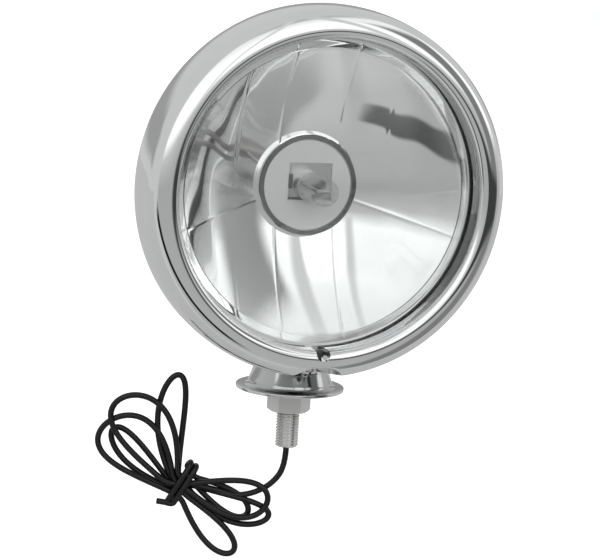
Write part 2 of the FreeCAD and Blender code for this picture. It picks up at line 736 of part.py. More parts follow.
# Saddle washer: flat on top and dished below to lie in the shell.
def saddle_washer():
    body = new_body("saddle_washer")
    inner = "(bolt_radius + snug_gap)"
    turned(body, "saddle_turn", "Revolution", [
        (inner, f"axis_height - sqrt(saddle_round^2 - {inner}^2)", "saddle_round"),
        ("saddle_radius", "axis_height - sqrt(saddle_round^2 - saddle_radius^2)"),
        ("saddle_radius", "saddle_face"), (inner, "saddle_face"),
    ])
    return body


# Lock washer: split spring ring between the foot's floor and the nut.
def lock_washer():
    body = new_body("lock_washer")
    bore = "(bolt_radius + snug_gap)"
    turned(body, "lock_turn", "Revolution", [
        (bore, "nut_top"), ("lock_radius", "nut_top"), ("lock_radius", "floor_recess"), (bore, "floor_recess"),
    ])
    slit = new_sketch(body, "slit_outline", "XY_Plane", "floor_recess")
    rectangle_in(slit, "0 - lock_gap / 2", "lock_gap / 2", "bolt_radius / 2", "2 * lock_radius")
    pocket(body, "lock_slit", slit, "lock_wall")
    return body


# Nut: plain hexagon with both faces chamfered.
def hex_nut():
    body = new_body("hex_nut")
    flat = new_sketch(body, "nut_outline", "XY_Plane", "nut_foot")
    hexagon_in(flat, "hex_corner")
    circle_in(flat, "shank_radius + snug_gap")
    body.Placement = FreeCAD.Placement(Vector(0, 0, 0), FreeCAD.Rotation(Vector(0, 0, 1), size("nut_turn")))
    bind(body, "Placement.Rotation.Angle", "nut_turn")
    pad(body, "nut_pad", flat, "nut_height")
    corner = "(hex_corner + snug_gap)"
    slope = f"(({corner} - hex_flats / 2) * tan(30))"
    turned(body, "nut_chamfer_top", "Groove", [
        ("hex_flats / 2", "nut_top"), (corner, f"nut_top - {slope}"), (corner, "nut_top")])
    turned(body, "nut_chamfer_foot", "Groove", [
        ("hex_flats / 2", "nut_foot"), (corner, "nut_foot"), (corner, f"nut_foot + {slope}")])
    return body


# Grommet: rubber sleeve on the bolt's head, with a spigot down its bore.
def bolt_grommet():
    body = new_body("bolt_grommet")
    inner = "(wire_radius + snug_gap)"
    turned(body, "grommet_turn", "Revolution", [
        (inner, "head_top - grommet_spigot"), ("bolt_bore - snug_gap", "head_top - grommet_spigot"),
        ("bolt_bore - snug_gap", "head_top"), ("grommet_radius", "head_top"),
        ("grommet_radius", "head_top + grommet_height * 0.6"),
        ("grommet_radius * 0.7", "head_top + grommet_height"), (inner, "head_top + grommet_height"),
    ])
    return body


# Free cord: out of the bolt and round to a loose hank. Points are (sideways, below the bolt's end) in an
# upright plane through the bolt that is turned to face the viewer.
CORD_TURN = -17.68
CORD_POINTS = [(0.0, 0.0), (0.0, -7.1), (-3.8, -13.4), (-10.2, -17.5), (-17.3, -18.9)]
HANK_MIDDLE = (-34.3, -14.1)
HANK_THICK = 8.0
# Loops of the hank: tip from the middle (sideways, up) and half width, both outside the lead.
HANK_LOOPS = [
    (-4.6, 36.4, 6.4), (-25.5, 26.7, 9.2), (-30.5, 14.8, 9.8), (17.0, -25.5, 6.2), (29.4, -4.8, 7.6),
    (29.8, -11.9, 5.6),
]


def cord_place(sideways, height):
    turn = math.radians(CORD_TURN)
    return Vector(sideways * math.cos(turn), sideways * math.sin(turn), height - size("bolt_drop"))


def cord_hank():
    """Loops as flat ovals that share a waist."""
    ovals = []
    for side, up, half in HANK_LOOPS:
        reach = math.hypot(side, up)
        oval = Part.Ellipse(Vector(0, 0, 0), reach / 2 + 3, half).toShape()
        solid = Part.Face(Part.Wire(oval)).extrude(Vector(0, 0, HANK_THICK))
        solid.translate(Vector(reach / 2 - 1.5, 0, -HANK_THICK / 2))
        solid.rotate(Vector(0, 0, 0), Vector(0, 0, 1), math.degrees(math.atan2(up, side)))
        solid.translate(Vector(*HANK_MIDDLE, 0))
        ovals.append(solid)
    hank = feature_of("cord_hank", ovals[0].multiFuse(ovals[1:]).removeSplitter())
    upright = FreeCAD.Rotation(Vector(0, 0, 1), CORD_TURN) * FORWARD
    hank.Placement = FreeCAD.Placement(Vector(0, 0, -size("bolt_drop")), upright)
    return hank


def cord_lead(hank):
    """The lead from the bolt's end to where it sinks into the hank."""
    spots = [cord_place(*p) for p in CORD_POINTS]
    runs = [(b - a).Length for a, b in zip(spots, spots[1:])]
    radii = []
    for i in range(1, len(spots) - 1):
        turn = (spots[i] - spots[i - 1]).getAngle(spots[i + 1] - spots[i])
        radii.append(0.45 * min(runs[i - 1], runs[i]) / math.tan(turn / 2))
    print("cord bends", [round(r, 1) for r in radii])
    shape = wire_tube("cord_lead", spots, radii).cut(hank.Shape)
    pieces = sorted(shape.Solids, key=lambda s: s.BoundBox.ZMax)
    return feature_of("cord_lead", pieces[-1])


RING, HOLLOW, PASSAGE = trim_ring()
doc.recompute()
HANK = cord_hank()
SUB_PARTS = [RING, screw_seat(HOLLOW, PASSAGE), HANK, cord_lead(HANK)]
SUB_PARTS += [make() for make in (
    rear_shell, ring_screw, lens, lens_gasket, reflector, bulb_plate, bulb_base, bulb_glass, bulb_filament,
    bulb_clip, lead_connector, bulb_lead, supply_lead, mount_skirt, hollow_bolt, saddle_washer, lock_washer,
    hex_nut, bolt_grommet)]

doc.recompute()
for thing in doc.Objects:
    if "Invalid" in thing.State or "Error" in thing.State:
        raise RuntimeError(f"{thing.Label} failed: {thing.State}")
for part in SUB_PARTS:
    if part.Shape.isNull() or not part.Shape.isValid():
        raise RuntimeError(part.Label + " has no valid shape")

os.makedirs("parts", exist_ok=True)
for part in SUB_PARTS:
    part.Shape.exportStep(f"parts/{part.Label}.step")
    box = part.Shape.BoundBox
    print(f"{part.Label}: {len(part.Shape.Solids)} solid, {part.Shape.Volume:.1f} mm3, "
          f"y {box.YMin:.2f} to {box.YMax:.2f}, z {box.ZMin:.2f} to {box.ZMax:.2f}")
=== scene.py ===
# %% [markdown]
# # A chrome passing lamp
#
# The lamp is a round bowl of chromed sheet with a rolled trim ring in front. It stands on a bell-shaped
# foot, and a hollow bolt clamps bowl, foot and bar together. One lead leaves through the bolt and ends
# in a loose hank. Such a lamp could be shaped by hand with modifiers. Here most visible surfaces are
# worked out with numpy, as a profile carried round an axis or as a height field, because chrome shows
# every unevenness of a surface and a formula has none.

# %% Modules and frame
import json
import math

import bmesh
import bpy
import numpy as np
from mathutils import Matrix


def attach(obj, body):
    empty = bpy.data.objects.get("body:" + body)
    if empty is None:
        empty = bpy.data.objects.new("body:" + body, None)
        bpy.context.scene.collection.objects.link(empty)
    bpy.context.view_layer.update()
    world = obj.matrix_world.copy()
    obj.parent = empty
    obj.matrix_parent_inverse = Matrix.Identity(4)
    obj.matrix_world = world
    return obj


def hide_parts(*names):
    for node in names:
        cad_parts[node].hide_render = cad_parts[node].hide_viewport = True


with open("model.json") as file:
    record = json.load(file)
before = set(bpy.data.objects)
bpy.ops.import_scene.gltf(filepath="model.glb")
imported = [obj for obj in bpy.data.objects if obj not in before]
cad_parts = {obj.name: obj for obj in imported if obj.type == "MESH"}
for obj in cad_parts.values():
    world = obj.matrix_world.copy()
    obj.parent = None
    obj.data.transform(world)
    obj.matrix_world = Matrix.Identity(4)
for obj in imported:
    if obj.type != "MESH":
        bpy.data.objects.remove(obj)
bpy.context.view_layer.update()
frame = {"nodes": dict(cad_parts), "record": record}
print("CAD pieces:", len(frame["nodes"]))

# %% [markdown]
# ## Units and the two axes
#
# Lengths below are millimetres, while Blender counts metres. The lamp's axis lies level above the bar,
# and the lamp looks along -Y. The bolt's axis is the Z axis. A turned piece could be made upright and
# then rotated, but a mesh that is born in the shared frame needs no rotation later. So two functions
# put a radius, an angle and a place along the axis into the frame. On the lamp, angle 0 is straight
# down.

# %% Points round the lamp's axis and round the bolt's axis
MM = 0.001
AXIS_HEIGHT = 71.5
FULL_TURN = 2.0 * np.pi


def round_lamp(radius, angle, forward):
    """x = r sin a, y = -f, z = axis height - r cos a, on arrays that broadcast together."""
    radius, angle, forward = np.broadcast_arrays(radius, angle, forward)
    return np.stack([radius * np.sin(angle), -forward, AXIS_HEIGHT - radius * np.cos(angle)], axis=-1)


def round_bolt(radius, angle, height):
    """x = r cos a, y = r sin a, z = height, on arrays that broadcast together."""
    radius, angle, height = np.broadcast_arrays(radius, angle, height)
    return np.stack([radius * np.cos(angle), radius * np.sin(angle), height], axis=-1)


def turn(count):
    """Angles of one full turn as a row, without the repeated last one."""
    return np.linspace(0.0, FULL_TURN, count, endpoint=False)[None, :]


def column(points):
    """The two coordinates of a profile as columns, ready to broadcast against a row of angles."""
    points = np.asarray(points, float)
    return points[:, :1], points[:, 1:]


# %% [markdown]
# ## Profiles
#
# Rolled and turned metal is described best by its section. A section could be a long list of points,
# but then nobody sees the radii in it. Three small tools draw one instead: an arc by its angles, an arc
# between two points, and an outline with its corners eased, since no real edge is perfectly sharp.

# %% Tools for sections
def arc(centre, radius, start, stop, count):
    """Points centre + radius (cos a, sin a), with a from start to stop degrees."""
    angle = np.radians(np.linspace(start, stop, count))
    return np.stack([centre[0] + radius * np.cos(angle), centre[1] + radius * np.sin(angle)], axis=1)


def bow(start, stop, radius, count):
    """Arc between two points, its centre left of the way from start to stop, or right if radius < 0."""
    start, stop = np.asarray(start, float), np.asarray(stop, float)
    half = (stop - start) / 2.0
    chord = np.hypot(*half)
    side = math.copysign(1.0, radius)
    left = np.array([-half[1], half[0]]) / chord
    centre = start + half + side * left * math.sqrt(radius * radius - chord * chord)
    first = math.atan2(start[1] - centre[1], start[0] - centre[0])
    angle = first + side * np.linspace(0.0, 2.0 * math.asin(chord / abs(radius)), count)
    return centre + abs(radius) * np.stack([np.cos(angle), np.sin(angle)], axis=1)


def eased(corners, cut, steps=5):
    """Closed outline, each corner B rounded: (1-t)^2 A + 2t(1-t) B + t^2 C, A and C a cut away."""
    middle = np.asarray(corners, float)
    back = np.roll(middle, 1, axis=0) - middle
    ahead = np.roll(middle, -1, axis=0) - middle
    cut = np.broadcast_to(cut, len(middle))[:, None]
    first = middle + cut * back / np.linalg.norm(back, axis=1, keepdims=True)
    last = middle + cut * ahead / np.linalg.norm(ahead, axis=1, keepdims=True)
    t = np.linspace(0.0, 1.0, steps)[None, :, None]
    curve = (1 - t) ** 2 * first[:, None] + 2 * t * (1 - t) * middle[:, None] + t ** 2 * last[:, None]
    return curve.reshape(-1, 2)


# %% [markdown]
# ## Shader nodes
#
# Every finish is a small network of nodes. Two helpers keep it readable: one sets the sockets of a node
# by name, and one adds a node with its sockets set. A third lets a surface be a mix of two shaders,
# which glass and the white paper below the lamp need.

# %% Tools for nodes
def fill(made, **sockets):
    """Set input sockets by name. An underscore in a name stands for a space."""
    for socket, value in sockets.items():
        made.inputs[socket.replace("_", " ")].default_value = value
    return made


def node(tree, kind, **sockets):
    """Add a shader node and set its sockets."""
    return fill(tree.nodes.new("ShaderNode" + kind), **sockets)


def show_mix(tree, factor, first, second):
    """Make the surface the first shader where the factor is 0 and the second where it is 1."""
    mix = node(tree, "MixShader")
    tree.links.new(factor, mix.inputs["Fac"])
    tree.links.new(first, mix.inputs[1])
    tree.links.new(second, mix.inputs[2])
    tree.links.new(mix.outputs["Shader"], tree.nodes["Material Output"].inputs["Surface"])


# %% [markdown]
# ## Colour of a finish
#
# No real finish has one flat colour. A broad noise clouds it a little. Metal also looks darker in
# hollows, where it mirrors other metal instead of the room, such as under the bowl and between the
# threads. Tracing many mirror images would show that too, but slowly, so this shade is painted into
# the colour by a node that measures how shut in a place is.

# %% Clouds and painted shade in hollows
CLOUD_LOW, CLOUD_HIGH = 0.3, 0.7
HOLLOW_REACH = 20.0 * MM
# A Mix node has sockets for numbers, vectors and colours under one name. These are the colours.
MIX_FIRST, MIX_SECOND, MIX_RESULT = 6, 7, 2


def clouded(tree, noise, colour, cloud):
    """Ramp from colour (1 - cloud) to colour (1 + cloud) along a noise."""
    ramp = node(tree, "ValToRGB")
    dark, light = ramp.color_ramp.elements
    dark.position, light.position = CLOUD_LOW, CLOUD_HIGH
    dark.color = [part * (1.0 - cloud) for part in colour] + [1.0]
    light.color = [min(1.0, part * (1.0 + cloud)) for part in colour] + [1.0]
    tree.links.new(noise, ramp.inputs["Fac"])
    return ramp.outputs["Color"]


def painted_shade_in_hollows(tree, tint, share):
    """Painted shade: the tint, mixed by a share with the tint times how open the place is."""
    openness = node(tree, "AmbientOcclusion", Distance=HOLLOW_REACH)
    mix = node(tree, "Mix")
    mix.data_type = "RGBA"
    mix.inputs["Factor"].default_value = share
    tree.links.new(tint, openness.inputs["Color"])
    tree.links.new(tint, mix.inputs[MIX_FIRST])
    tree.links.new(openness.outputs["Color"], mix.inputs[MIX_SECOND])
    return mix.outputs[MIX_RESULT]


# %% [markdown]
# ## A finish
#
# Each finish is one Principled shader with two noises on object coordinates: the broad one for the
# colour, and a fine one for the roughness and a faint relief. Polished plate needs little of both,
# rubber and matt paint more. The grain counts features per metre, so 3000 is a grain of a third of a
# millimetre.

# %% Shader tool
FINE_DETAIL = 3.0
CLOUD_GRAIN = 60.0
RELIEF_HEIGHT = 0.1 * MM
material = {}


def finish(slot, colour, metallic=0.0, roughness=0.4, grain=3000.0, vary=0.05, relief=0.0, cloud=0.06,
           hollow=0.0, **sockets):
    """Principled shader: roughness +- vary from a fine noise, colour (1 +- cloud) from a broad one."""
    made = bpy.data.materials.new(slot)
    made.use_nodes = True
    tree = made.node_tree
    shader = fill(tree.nodes["Principled BSDF"], Metallic=metallic, **sockets)
    place = node(tree, "TexCoord").outputs["Object"]
    fine = node(tree, "TexNoise", Scale=grain, Detail=FINE_DETAIL)
    broad = node(tree, "TexNoise", Scale=CLOUD_GRAIN)
    tree.links.new(place, fine.inputs["Vector"])
    tree.links.new(place, broad.inputs["Vector"])
    rough = node(tree, "MapRange", To_Min=max(0.0, roughness - vary), To_Max=roughness + vary)
    tree.links.new(fine.outputs["Fac"], rough.inputs["Value"])
    tree.links.new(rough.outputs["Result"], shader.inputs["Roughness"])
    tint = clouded(tree, broad.outputs["Fac"], colour, cloud)
    # Painted shade: the base colour is darkened where the place is shut in
    if hollow > 0.0:
        tint = painted_shade_in_hollows(tree, tint, hollow)
    tree.links.new(tint, shader.inputs["Base Color"])
    if relief > 0.0:
        bump = node(tree, "Bump", Strength=relief, Distance=RELIEF_HEIGHT)
        tree.links.new(fine.outputs["Fac"], bump.inputs["Height"])
        tree.links.new(bump.outputs["Normal"], shader.inputs["Normal"])
    material[slot] = made
    return made


# %% [markdown]
# ## Metals
#
# Ring, bowl and foot are polished chrome plate, bolt and nut bright zinc. The reflector is coated in a
# vacuum and is the smoothest of all, the bulb's base is plain sheet, and the filament drawn wire. They
# differ in roughness far more than in colour, which is why each has its own.

# %% Finishes of the metals
# hollow is the share of painted shade in hollows, set on chrome and zinc_steel
finish("chrome", (0.86, 0.865, 0.87), metallic=1.0, roughness=0.045, grain=900.0, vary=0.015, cloud=0.015,
       hollow=0.85)
finish("zinc_steel", (0.82, 0.82, 0.81), metallic=1.0, roughness=0.15, grain=2500.0, relief=0.02,
       cloud=0.05, hollow=0.7)
finish("bright_reflector", (0.92, 0.92, 0.915), metallic=1.0, roughness=0.035, grain=110.0, vary=0.015,
       cloud=0.01)
finish("bulb_metal", (0.66, 0.66, 0.655), metallic=1.0, roughness=0.33, vary=0.08, relief=0.08, cloud=0.05)
finish("tungsten", (0.35, 0.34, 0.33), metallic=1.0, roughness=0.38, grain=6000.0, vary=0.08, relief=0.10,
       cloud=0.05)
print("metals:", ", ".join(material))

# %% [markdown]
# ## Paint, rubber and insulation
#
# The bulb's disc is matt grey paint with a fine grain. Rubber and insulation are nearly black, so what
# is seen of them is mostly their sheen, and a socket for it is set on two of them.

# %% Finishes of the other solids
finish("grey_plate", (0.84, 0.85, 0.85), roughness=0.62, grain=4000.0, vary=0.08, relief=0.10, cloud=0.03)
finish("black_rubber", (0.13, 0.13, 0.13), roughness=0.30, grain=2500.0, vary=0.10, relief=0.20,
       cloud=0.10, Specular_IOR_Level=0.9)
finish("black_lead", (0.008, 0.008, 0.009), roughness=0.32, grain=1800.0, vary=0.08, relief=0.15,
       cloud=0.12, Specular_IOR_Level=0.35)
finish("connector_sleeve", (0.05, 0.05, 0.05), roughness=0.45, grain=2000.0, vary=0.08, relief=0.10,
       cloud=0.08)
print("finishes:", len(material))

# %% [markdown]
# ## Clear glass
#
# The lens bends what is seen through it, but must not darken what lies behind it. Plain glass would
# throw a shadow, because light that is bent rarely finds its way back to a lamp. So shadow rays and
# diffuse rays pass straight on, and only the view and the mirror images go through the glass proper.

# %% Glass
CLEAR = (0.98, 0.98, 0.98, 1.0)
GLASS_GRAIN = 400.0
GLASS_CLOUD = 0.01


def glass(slot, tint):
    """Principled glass, with Transparent in its place for shadow and diffuse rays."""
    made = finish(slot, tint, roughness=0.0, grain=GLASS_GRAIN, vary=0.0, cloud=GLASS_CLOUD,
                  Transmission_Weight=1.0, IOR=1.48)
    tree = made.node_tree
    path = node(tree, "LightPath")
    either = node(tree, "Math")
    either.operation = "MAXIMUM"
    tree.links.new(path.outputs["Is Shadow Ray"], either.inputs[0])
    tree.links.new(path.outputs["Is Diffuse Ray"], either.inputs[1])
    clear = node(tree, "BsdfTransparent", Color=CLEAR).outputs["BSDF"]
    show_mix(tree, either.outputs["Value"], tree.nodes["Principled BSDF"].outputs["BSDF"], clear)


glass("clear_glass", (0.97, 0.985, 0.985))
print("lens glass made")

# %% [markdown]
# ## Thin quartz
#
# The bulb's quartz is so thin that it bends nothing. It is seen only by its mirror images, weak where
# it is looked at squarely and strong at its edges. Glass with two walls would look like a solid drop,
# so here the facing angle mixes a mirror into plain transparency.

# %% Quartz
EDGE_POWER = 3.0


def thin_glass(slot, tint, square, edge):
    """Transparent, with a share of mirror that rises from square to edge as the cube of the facing."""
    made = finish(slot, tint, metallic=1.0, roughness=0.04, grain=GLASS_GRAIN, vary=0.02, cloud=GLASS_CLOUD)
    tree = made.node_tree
    facing = node(tree, "LayerWeight")
    cube = node(tree, "Math")
    cube.operation = "POWER"
    cube.inputs[1].default_value = EDGE_POWER
    share = node(tree, "MapRange", To_Min=square, To_Max=edge)
    tree.links.new(facing.outputs["Facing"], cube.inputs[0])
    tree.links.new(cube.outputs["Value"], share.inputs["Value"])
    clear = node(tree, "BsdfTransparent", Color=CLEAR).outputs["BSDF"]
    show_mix(tree, share.outputs["Result"], clear, tree.nodes["Principled BSDF"].outputs["BSDF"])


thin_glass("quartz", (0.97, 0.97, 0.97), square=0.10, edge=0.75)
print("all finishes:", ", ".join(sorted(material)))

# %% [markdown]
# ## From a grid of points to a piece
#
# A surface is a grid of points with rows along the profile and columns round the axis. Blender could
# spin a profile too, but a grid also takes a dimple, a thread or a facet. Points that fall together, at
# a pole or in a facet of no width, are merged, and all faces are turned outwards.

# %% Corners of a grid's faces
def corners_of(rows, columns, closed):
    """Four corner numbers of each face of a grid, which may close on itself along its rows and columns."""
    row = np.arange(rows if closed[0] else rows - 1)[:, None]
    col = np.arange(columns if closed[1] else columns - 1)[None, :]
    below = (row + 1) % rows * columns
    beside = (col + 1) % columns
    here = row * columns
    return np.stack([here + col, here + beside, below + beside, below + col], axis=-1).reshape(-1, 4)


# %% [markdown]
# The grid goes into a mesh in one stroke each for points, corners and faces, which is much quicker than
# adding them one by one. Each piece then rides on the lamp's body, gets its finish's slot and hides the
# modelled nodes it stands for.

# %% Mesh tools
MERGE = 0.002 * MM


def mesh_of(name, grid, closed):
    """Mesh of a grid in millimetres, doubles merged and faces outwards, and its count of open edges."""
    rows, columns = grid.shape[:2]
    corners = corners_of(rows, columns, closed)
    mesh = bpy.data.meshes.new(name)
    mesh.vertices.add(rows * columns)
    mesh.vertices.foreach_set("co", (grid * MM).ravel())
    mesh.loops.add(corners.size)
    mesh.loops.foreach_set("vertex_index", corners.ravel())
    mesh.polygons.add(len(corners))
    mesh.polygons.foreach_set("loop_start", np.arange(0, corners.size, 4))
    mesh.update(calc_edges=True)
    work = bmesh.new()
    work.from_mesh(mesh)
    bmesh.ops.remove_doubles(work, verts=work.verts, dist=MERGE)
    bmesh.ops.recalc_face_normals(work, faces=work.faces)
    open_edges = sum(not edge.is_manifold for edge in work.edges)
    work.to_mesh(mesh)
    work.free()
    return mesh, open_edges


def piece(name, grid, slot, *nodes, sharp=30.0, closed=(True, True)):
    """Make a smooth piece of a grid. Edges that turn by more than sharp degrees stay crisp."""
    mesh, open_edges = mesh_of(name, grid, closed)
    mesh.shade_smooth()
    mesh.set_sharp_from_angle(angle=math.radians(sharp))
    mesh.materials.append(material[slot])
    made = bpy.data.objects.new(name, mesh)
    bpy.context.scene.collection.objects.link(made)
    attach(made, "root")
    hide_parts(*nodes)
    print(f"{name}: {len(mesh.polygons)} faces, {open_edges} open edges")
    return made


def turned(name, section, count, slot, *nodes, about=round_lamp, closed=True):
    """Carry a section of (radius, place along the axis) round an axis in count steps."""
    radius, along = column(section)
    return piece(name, about(radius, turn(count), along), slot, *nodes, closed=(closed, True))


# %% [markdown]
# ## Camera
#
# The view was fitted to the ellipse of the ring and to the bolt below it: about 18 degrees to one side
# of the lamp and 9 degrees above, from a metre away, with a long lens. Its three directions are written
# out, because the camera is also rolled by a few degrees, which a plain look-at would miss.

# %% Camera
TO_CAMERA = np.array([-0.29980, -0.94055, 0.15966])
RIGHTWARD = np.array([0.95398, -0.29439, 0.05710])
UPWARD = np.array([-0.00671, 0.16943, 0.98552])
TARGET = np.array([1.51, 0.0, 37.71])
CAMERA_AWAY = 1000.0
camera_data = bpy.data.cameras.new("camera")
camera_data.lens = 175.3
camera_data.sensor_width = 36.0
camera_data.sensor_fit = "HORIZONTAL"
camera_data.clip_start = 0.05
camera_data.clip_end = 50.0
camera = bpy.data.objects.new("camera", camera_data)
pose = np.eye(4)
pose[:3, 0] = RIGHTWARD
pose[:3, 1] = UPWARD
pose[:3, 2] = TO_CAMERA
pose[:3, 3] = (TARGET + CAMERA_AWAY * TO_CAMERA) * MM
camera.matrix_world = pose.T.tolist()
bpy.context.scene.collection.objects.link(camera)
bpy.context.scene.camera = camera
print("camera at", np.round(pose[:3, 3], 3))

# %% [markdown]
# ## Loops of the hank
#
# A black single-core lead hangs from the bolt's end, swings to one side and is wound into a loose hank,
# whose loops stick out up-left and down-right of a tie. Points traced by hand would do, but loops of
# wire are all alike: each leaves the tie, widens, comes round at its tip and returns, like a petal. So
# one formula draws them. Places are (sideways, up) from the bolt's end, in a plane turned a little
# toward the view.

# %% Petals
TIE = np.array([-35.35, -15.45])
BUNDLE = np.array([0.527, 0.850])
PETAL_ENDS = (0.03, 0.97)
PETAL_POINTS = 15


def petal(root, length, direction, width, lean):
    """Along: length sin(pi s). Across: width sin(2 pi s) + lean length sin^2(pi s)."""
    s = np.linspace(*PETAL_ENDS, PETAL_POINTS)[:, None]
    reach = np.sin(np.pi * s)
    sideward = width * np.sin(2.0 * np.pi * s) + lean * length * reach ** 2
    cosine, sine = math.cos(math.radians(direction)), math.sin(math.radians(direction))
    flat = length * reach * np.array([cosine, sine]) + sideward * np.array([-sine, cosine])
    return TIE + root * (1.0 - reach) * BUNDLE + flat


# %% [markdown]
# The first points of the lead are those of the modelled one. Then come eight petals by turns to either
# side, each at its own depth, so that none runs inside another. A negative width is a petal wound the
# other way, and the lean bends its tip aside.

# %% Route of the lead
LEAD = [(0, 0), (0, -7.1), (-3.8, -13.4), (-10.2, -17.5), (-17.3, -18.9), (-22.0, -17.4)]
LEAD_DEPTH = -1.0
LOOPS = [
    petal(root=-3.2, length=36.3, direction=117.0, width=-9.5, lean=0.16),
    petal(root=0.0, length=30.2, direction=-15.5, width=6.8, lean=0.11),
    petal(root=-4.1, length=33.1, direction=132.5, width=-9.9, lean=0.19),
    petal(root=-2.4, length=29.9, direction=-54.5, width=-4.3, lean=0.05),
    petal(root=-2.8, length=37.2, direction=110.0, width=5.0, lean=-0.26),
    petal(root=0.8, length=31.0, direction=-35.0, width=-4.9, lean=0.28),
    petal(root=-3.2, length=30.3, direction=152.5, width=4.3, lean=-0.13),
    petal(root=3.0, length=25.2, direction=-22.0, width=-4.0, lean=0.0),
]
HANK_HALF = 1.7
loop_depth = np.repeat(np.linspace(HANK_HALF, -HANK_HALF, len(LOOPS)), PETAL_POINTS)
print("loops:", len(LOOPS))

# %% [markdown]
# The tie is the same lead, one and a half times round the bundle. An ellipse would bend too sharply at
# its ends, so the lead goes straight across the strands and then round their edge, as tanh(k cos t)
# does. It moves on along the strands with each turn, and the free end is cut off bare.

# %% Tie and cut end
TIE_TURNS = np.radians(np.arange(-60.0, 511.0, 30.0))[:, None]
TIE_HALF_WIDTH = 8.06
TIE_HALF_DEPTH = 2.85
TIE_SQUARENESS = 1.3
TIE_PITCH = 2.2
TIE_MIDDLE = 0.75
STRANDS = np.array([0.85, -0.53])
CUT_END = [(-41.1, -22.0), (-43.7, -21.9)]
CUT_DEPTH = [1.2, 0.9]
tie_across = TIE_HALF_WIDTH * np.tanh(TIE_SQUARENESS * np.cos(TIE_TURNS)) / math.tanh(TIE_SQUARENESS)
tie_along = (TIE_TURNS / FULL_TURN - TIE_MIDDLE) * TIE_PITCH
tie_flat = TIE + tie_across * BUNDLE + tie_along * STRANDS
tie_depth = TIE_HALF_DEPTH * np.sin(TIE_TURNS[:, 0])
route = np.vstack([LEAD, *LOOPS, tie_flat, CUT_END])
depth = np.concatenate([np.linspace(0.0, LEAD_DEPTH, len(LEAD)), loop_depth, tie_depth, CUT_DEPTH])
print("control points:", len(route))

# %% [markdown]
# All points together are the control points of a single open curve with a round section. A curve is
# kept, rather than a mesh, because its length can then be measured as that of a real lead.

# %% Curve of the lead
SIDEWAYS = np.array([0.9528, -0.3037, 0.0])
OUTWARD = np.array([-0.3037, -0.9528, 0.0])
BOLT_END = -20.4
LEAD_RADIUS = 1.05
points = route[:, :1] * SIDEWAYS + depth[:, None] * OUTWARD
points[:, 2] = route[:, 1] + BOLT_END
curve = bpy.data.curves.new("lead", "CURVE")
curve.dimensions = "3D"
curve.bevel_depth = LEAD_RADIUS * MM
curve.bevel_resolution = 5
curve.use_fill_caps = True
curve.resolution_u = 6
spline = curve.splines.new("NURBS")
spline.points.add(len(points) - 1)
spline.points.foreach_set("co", np.hstack([points * MM, np.ones((len(points), 1))]).ravel())
spline.order_u = 3
spline.use_endpoint_u = True
curve.materials.append(material["black_lead"])
lead = bpy.data.objects.new("lead", curve)
bpy.context.scene.collection.objects.link(lead)
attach(lead, "root")
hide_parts("cord_lead", "cord_hank")
print("lead made of one spline")

# %% [markdown]
# ## Rear shell
#
# The bowl is deep-drawn sheet, a little more than half a sphere, flared at its mouth to a rolled bead.
# The step in front of the bead is where the ring pushes on. A sphere with a thickness would lack that
# mouth, so its section is drawn along the outside, round the mouth and back along the inside.

# %% Rear shell
SHELL_OUTSIDE, SHELL_INSIDE = 55.5, 54.3
FLARE_OUTSIDE, FLARE_INSIDE = 12.6, 13.8
MOUTH = [(54.05, FLARE_OUTSIDE), (61.13, 14.5), (61.13, 16.5), (59.4, 16.5), (59.4, 22.0), (58.2, 22.0),
         (58.2, 15.7), (52.5, FLARE_INSIDE)]
MOUTH_ROUNDS = [0.0, 0.9, 0.7, 0.3, 0.4, 0.4, 1.0, 0.0]
outside_end = math.degrees(math.asin(FLARE_OUTSIDE / SHELL_OUTSIDE))
inside_start = math.degrees(math.asin(FLARE_INSIDE / SHELL_INSIDE))
shell_section = np.vstack([
    arc((0.0, 0.0), SHELL_OUTSIDE, -90.0, outside_end, count=90),
    eased(MOUTH, MOUTH_ROUNDS),
    arc((0.0, 0.0), SHELL_INSIDE, inside_start, -90.0, count=60),
])
turned("rear_shell.smooth", shell_section, 240, "chrome", "rear_shell", closed=False)

# %% [markdown]
# ## Section of the trim ring
#
# The ring is rolled from one strip of sheet: a broad shoulder, a tight crest and a short wall down to
# the glass. Shoulder, crest and lip are three arcs that meet without a kink, and the inside is the same
# three arcs less the sheet's thickness. Columns stand closer at the bottom, where the ring has its
# details.

# %% Section of the ring
SHOULDER, SHOULDER_ROUND = (-2.13, 20.54), 64.6
CREST, CREST_ROUND = (54.6, 28.6), 7.3
LIP, LIP_ROUND = (54.6, 33.2), 2.7
RING_SHEET = 1.0
MEET = 8.09
SKIRT_OUTSIDE, SKIRT_INSIDE = -4.92, -5.0
ring_outside = np.vstack([
    arc(SHOULDER, SHOULDER_ROUND, SKIRT_OUTSIDE, MEET, count=28),
    arc(CREST, CREST_ROUND, MEET, 90.0, count=40)[1:],
    arc(LIP, LIP_ROUND, 90.0, 180.0, count=26)[1:],
    [(51.9, 32.0), (51.9, 30.0), (51.9, 28.6), (51.9, 27.8), (52.1, 27.6)],
])
ring_inside = np.vstack([
    [(52.9, 27.6)],
    arc(LIP, LIP_ROUND - RING_SHEET, 180.0, 90.0, count=16),
    arc(CREST, CREST_ROUND - RING_SHEET, 90.0, MEET, count=24)[1:],
    arc(SHOULDER, SHOULDER_ROUND - RING_SHEET, MEET, SKIRT_INSIDE, count=20)[1:],
])
DETAIL_HALF = 16.0
fine_turn = np.radians(np.linspace(-DETAIL_HALF, DETAIL_HALF, 201))
wide_turn = np.radians(np.linspace(DETAIL_HALF, 360.0 - DETAIL_HALF, 329))[1:-1]
ring_turn = np.concatenate([fine_turn, wide_turn])[None, :]
print("ring section:", len(ring_outside) + len(ring_inside), "points")

# %% [markdown]
# ## Dimple of the ring
#
# At the bottom a dimple is pressed in for the ring's screw. A boolean cut would leave a sharp edge and
# a hole. Instead the dimple is a cylinder along the slope of the shoulder, and points below it are
# pressed up to it with a soft minimum, so that the sheet rounds over the edge as pressed sheet does.

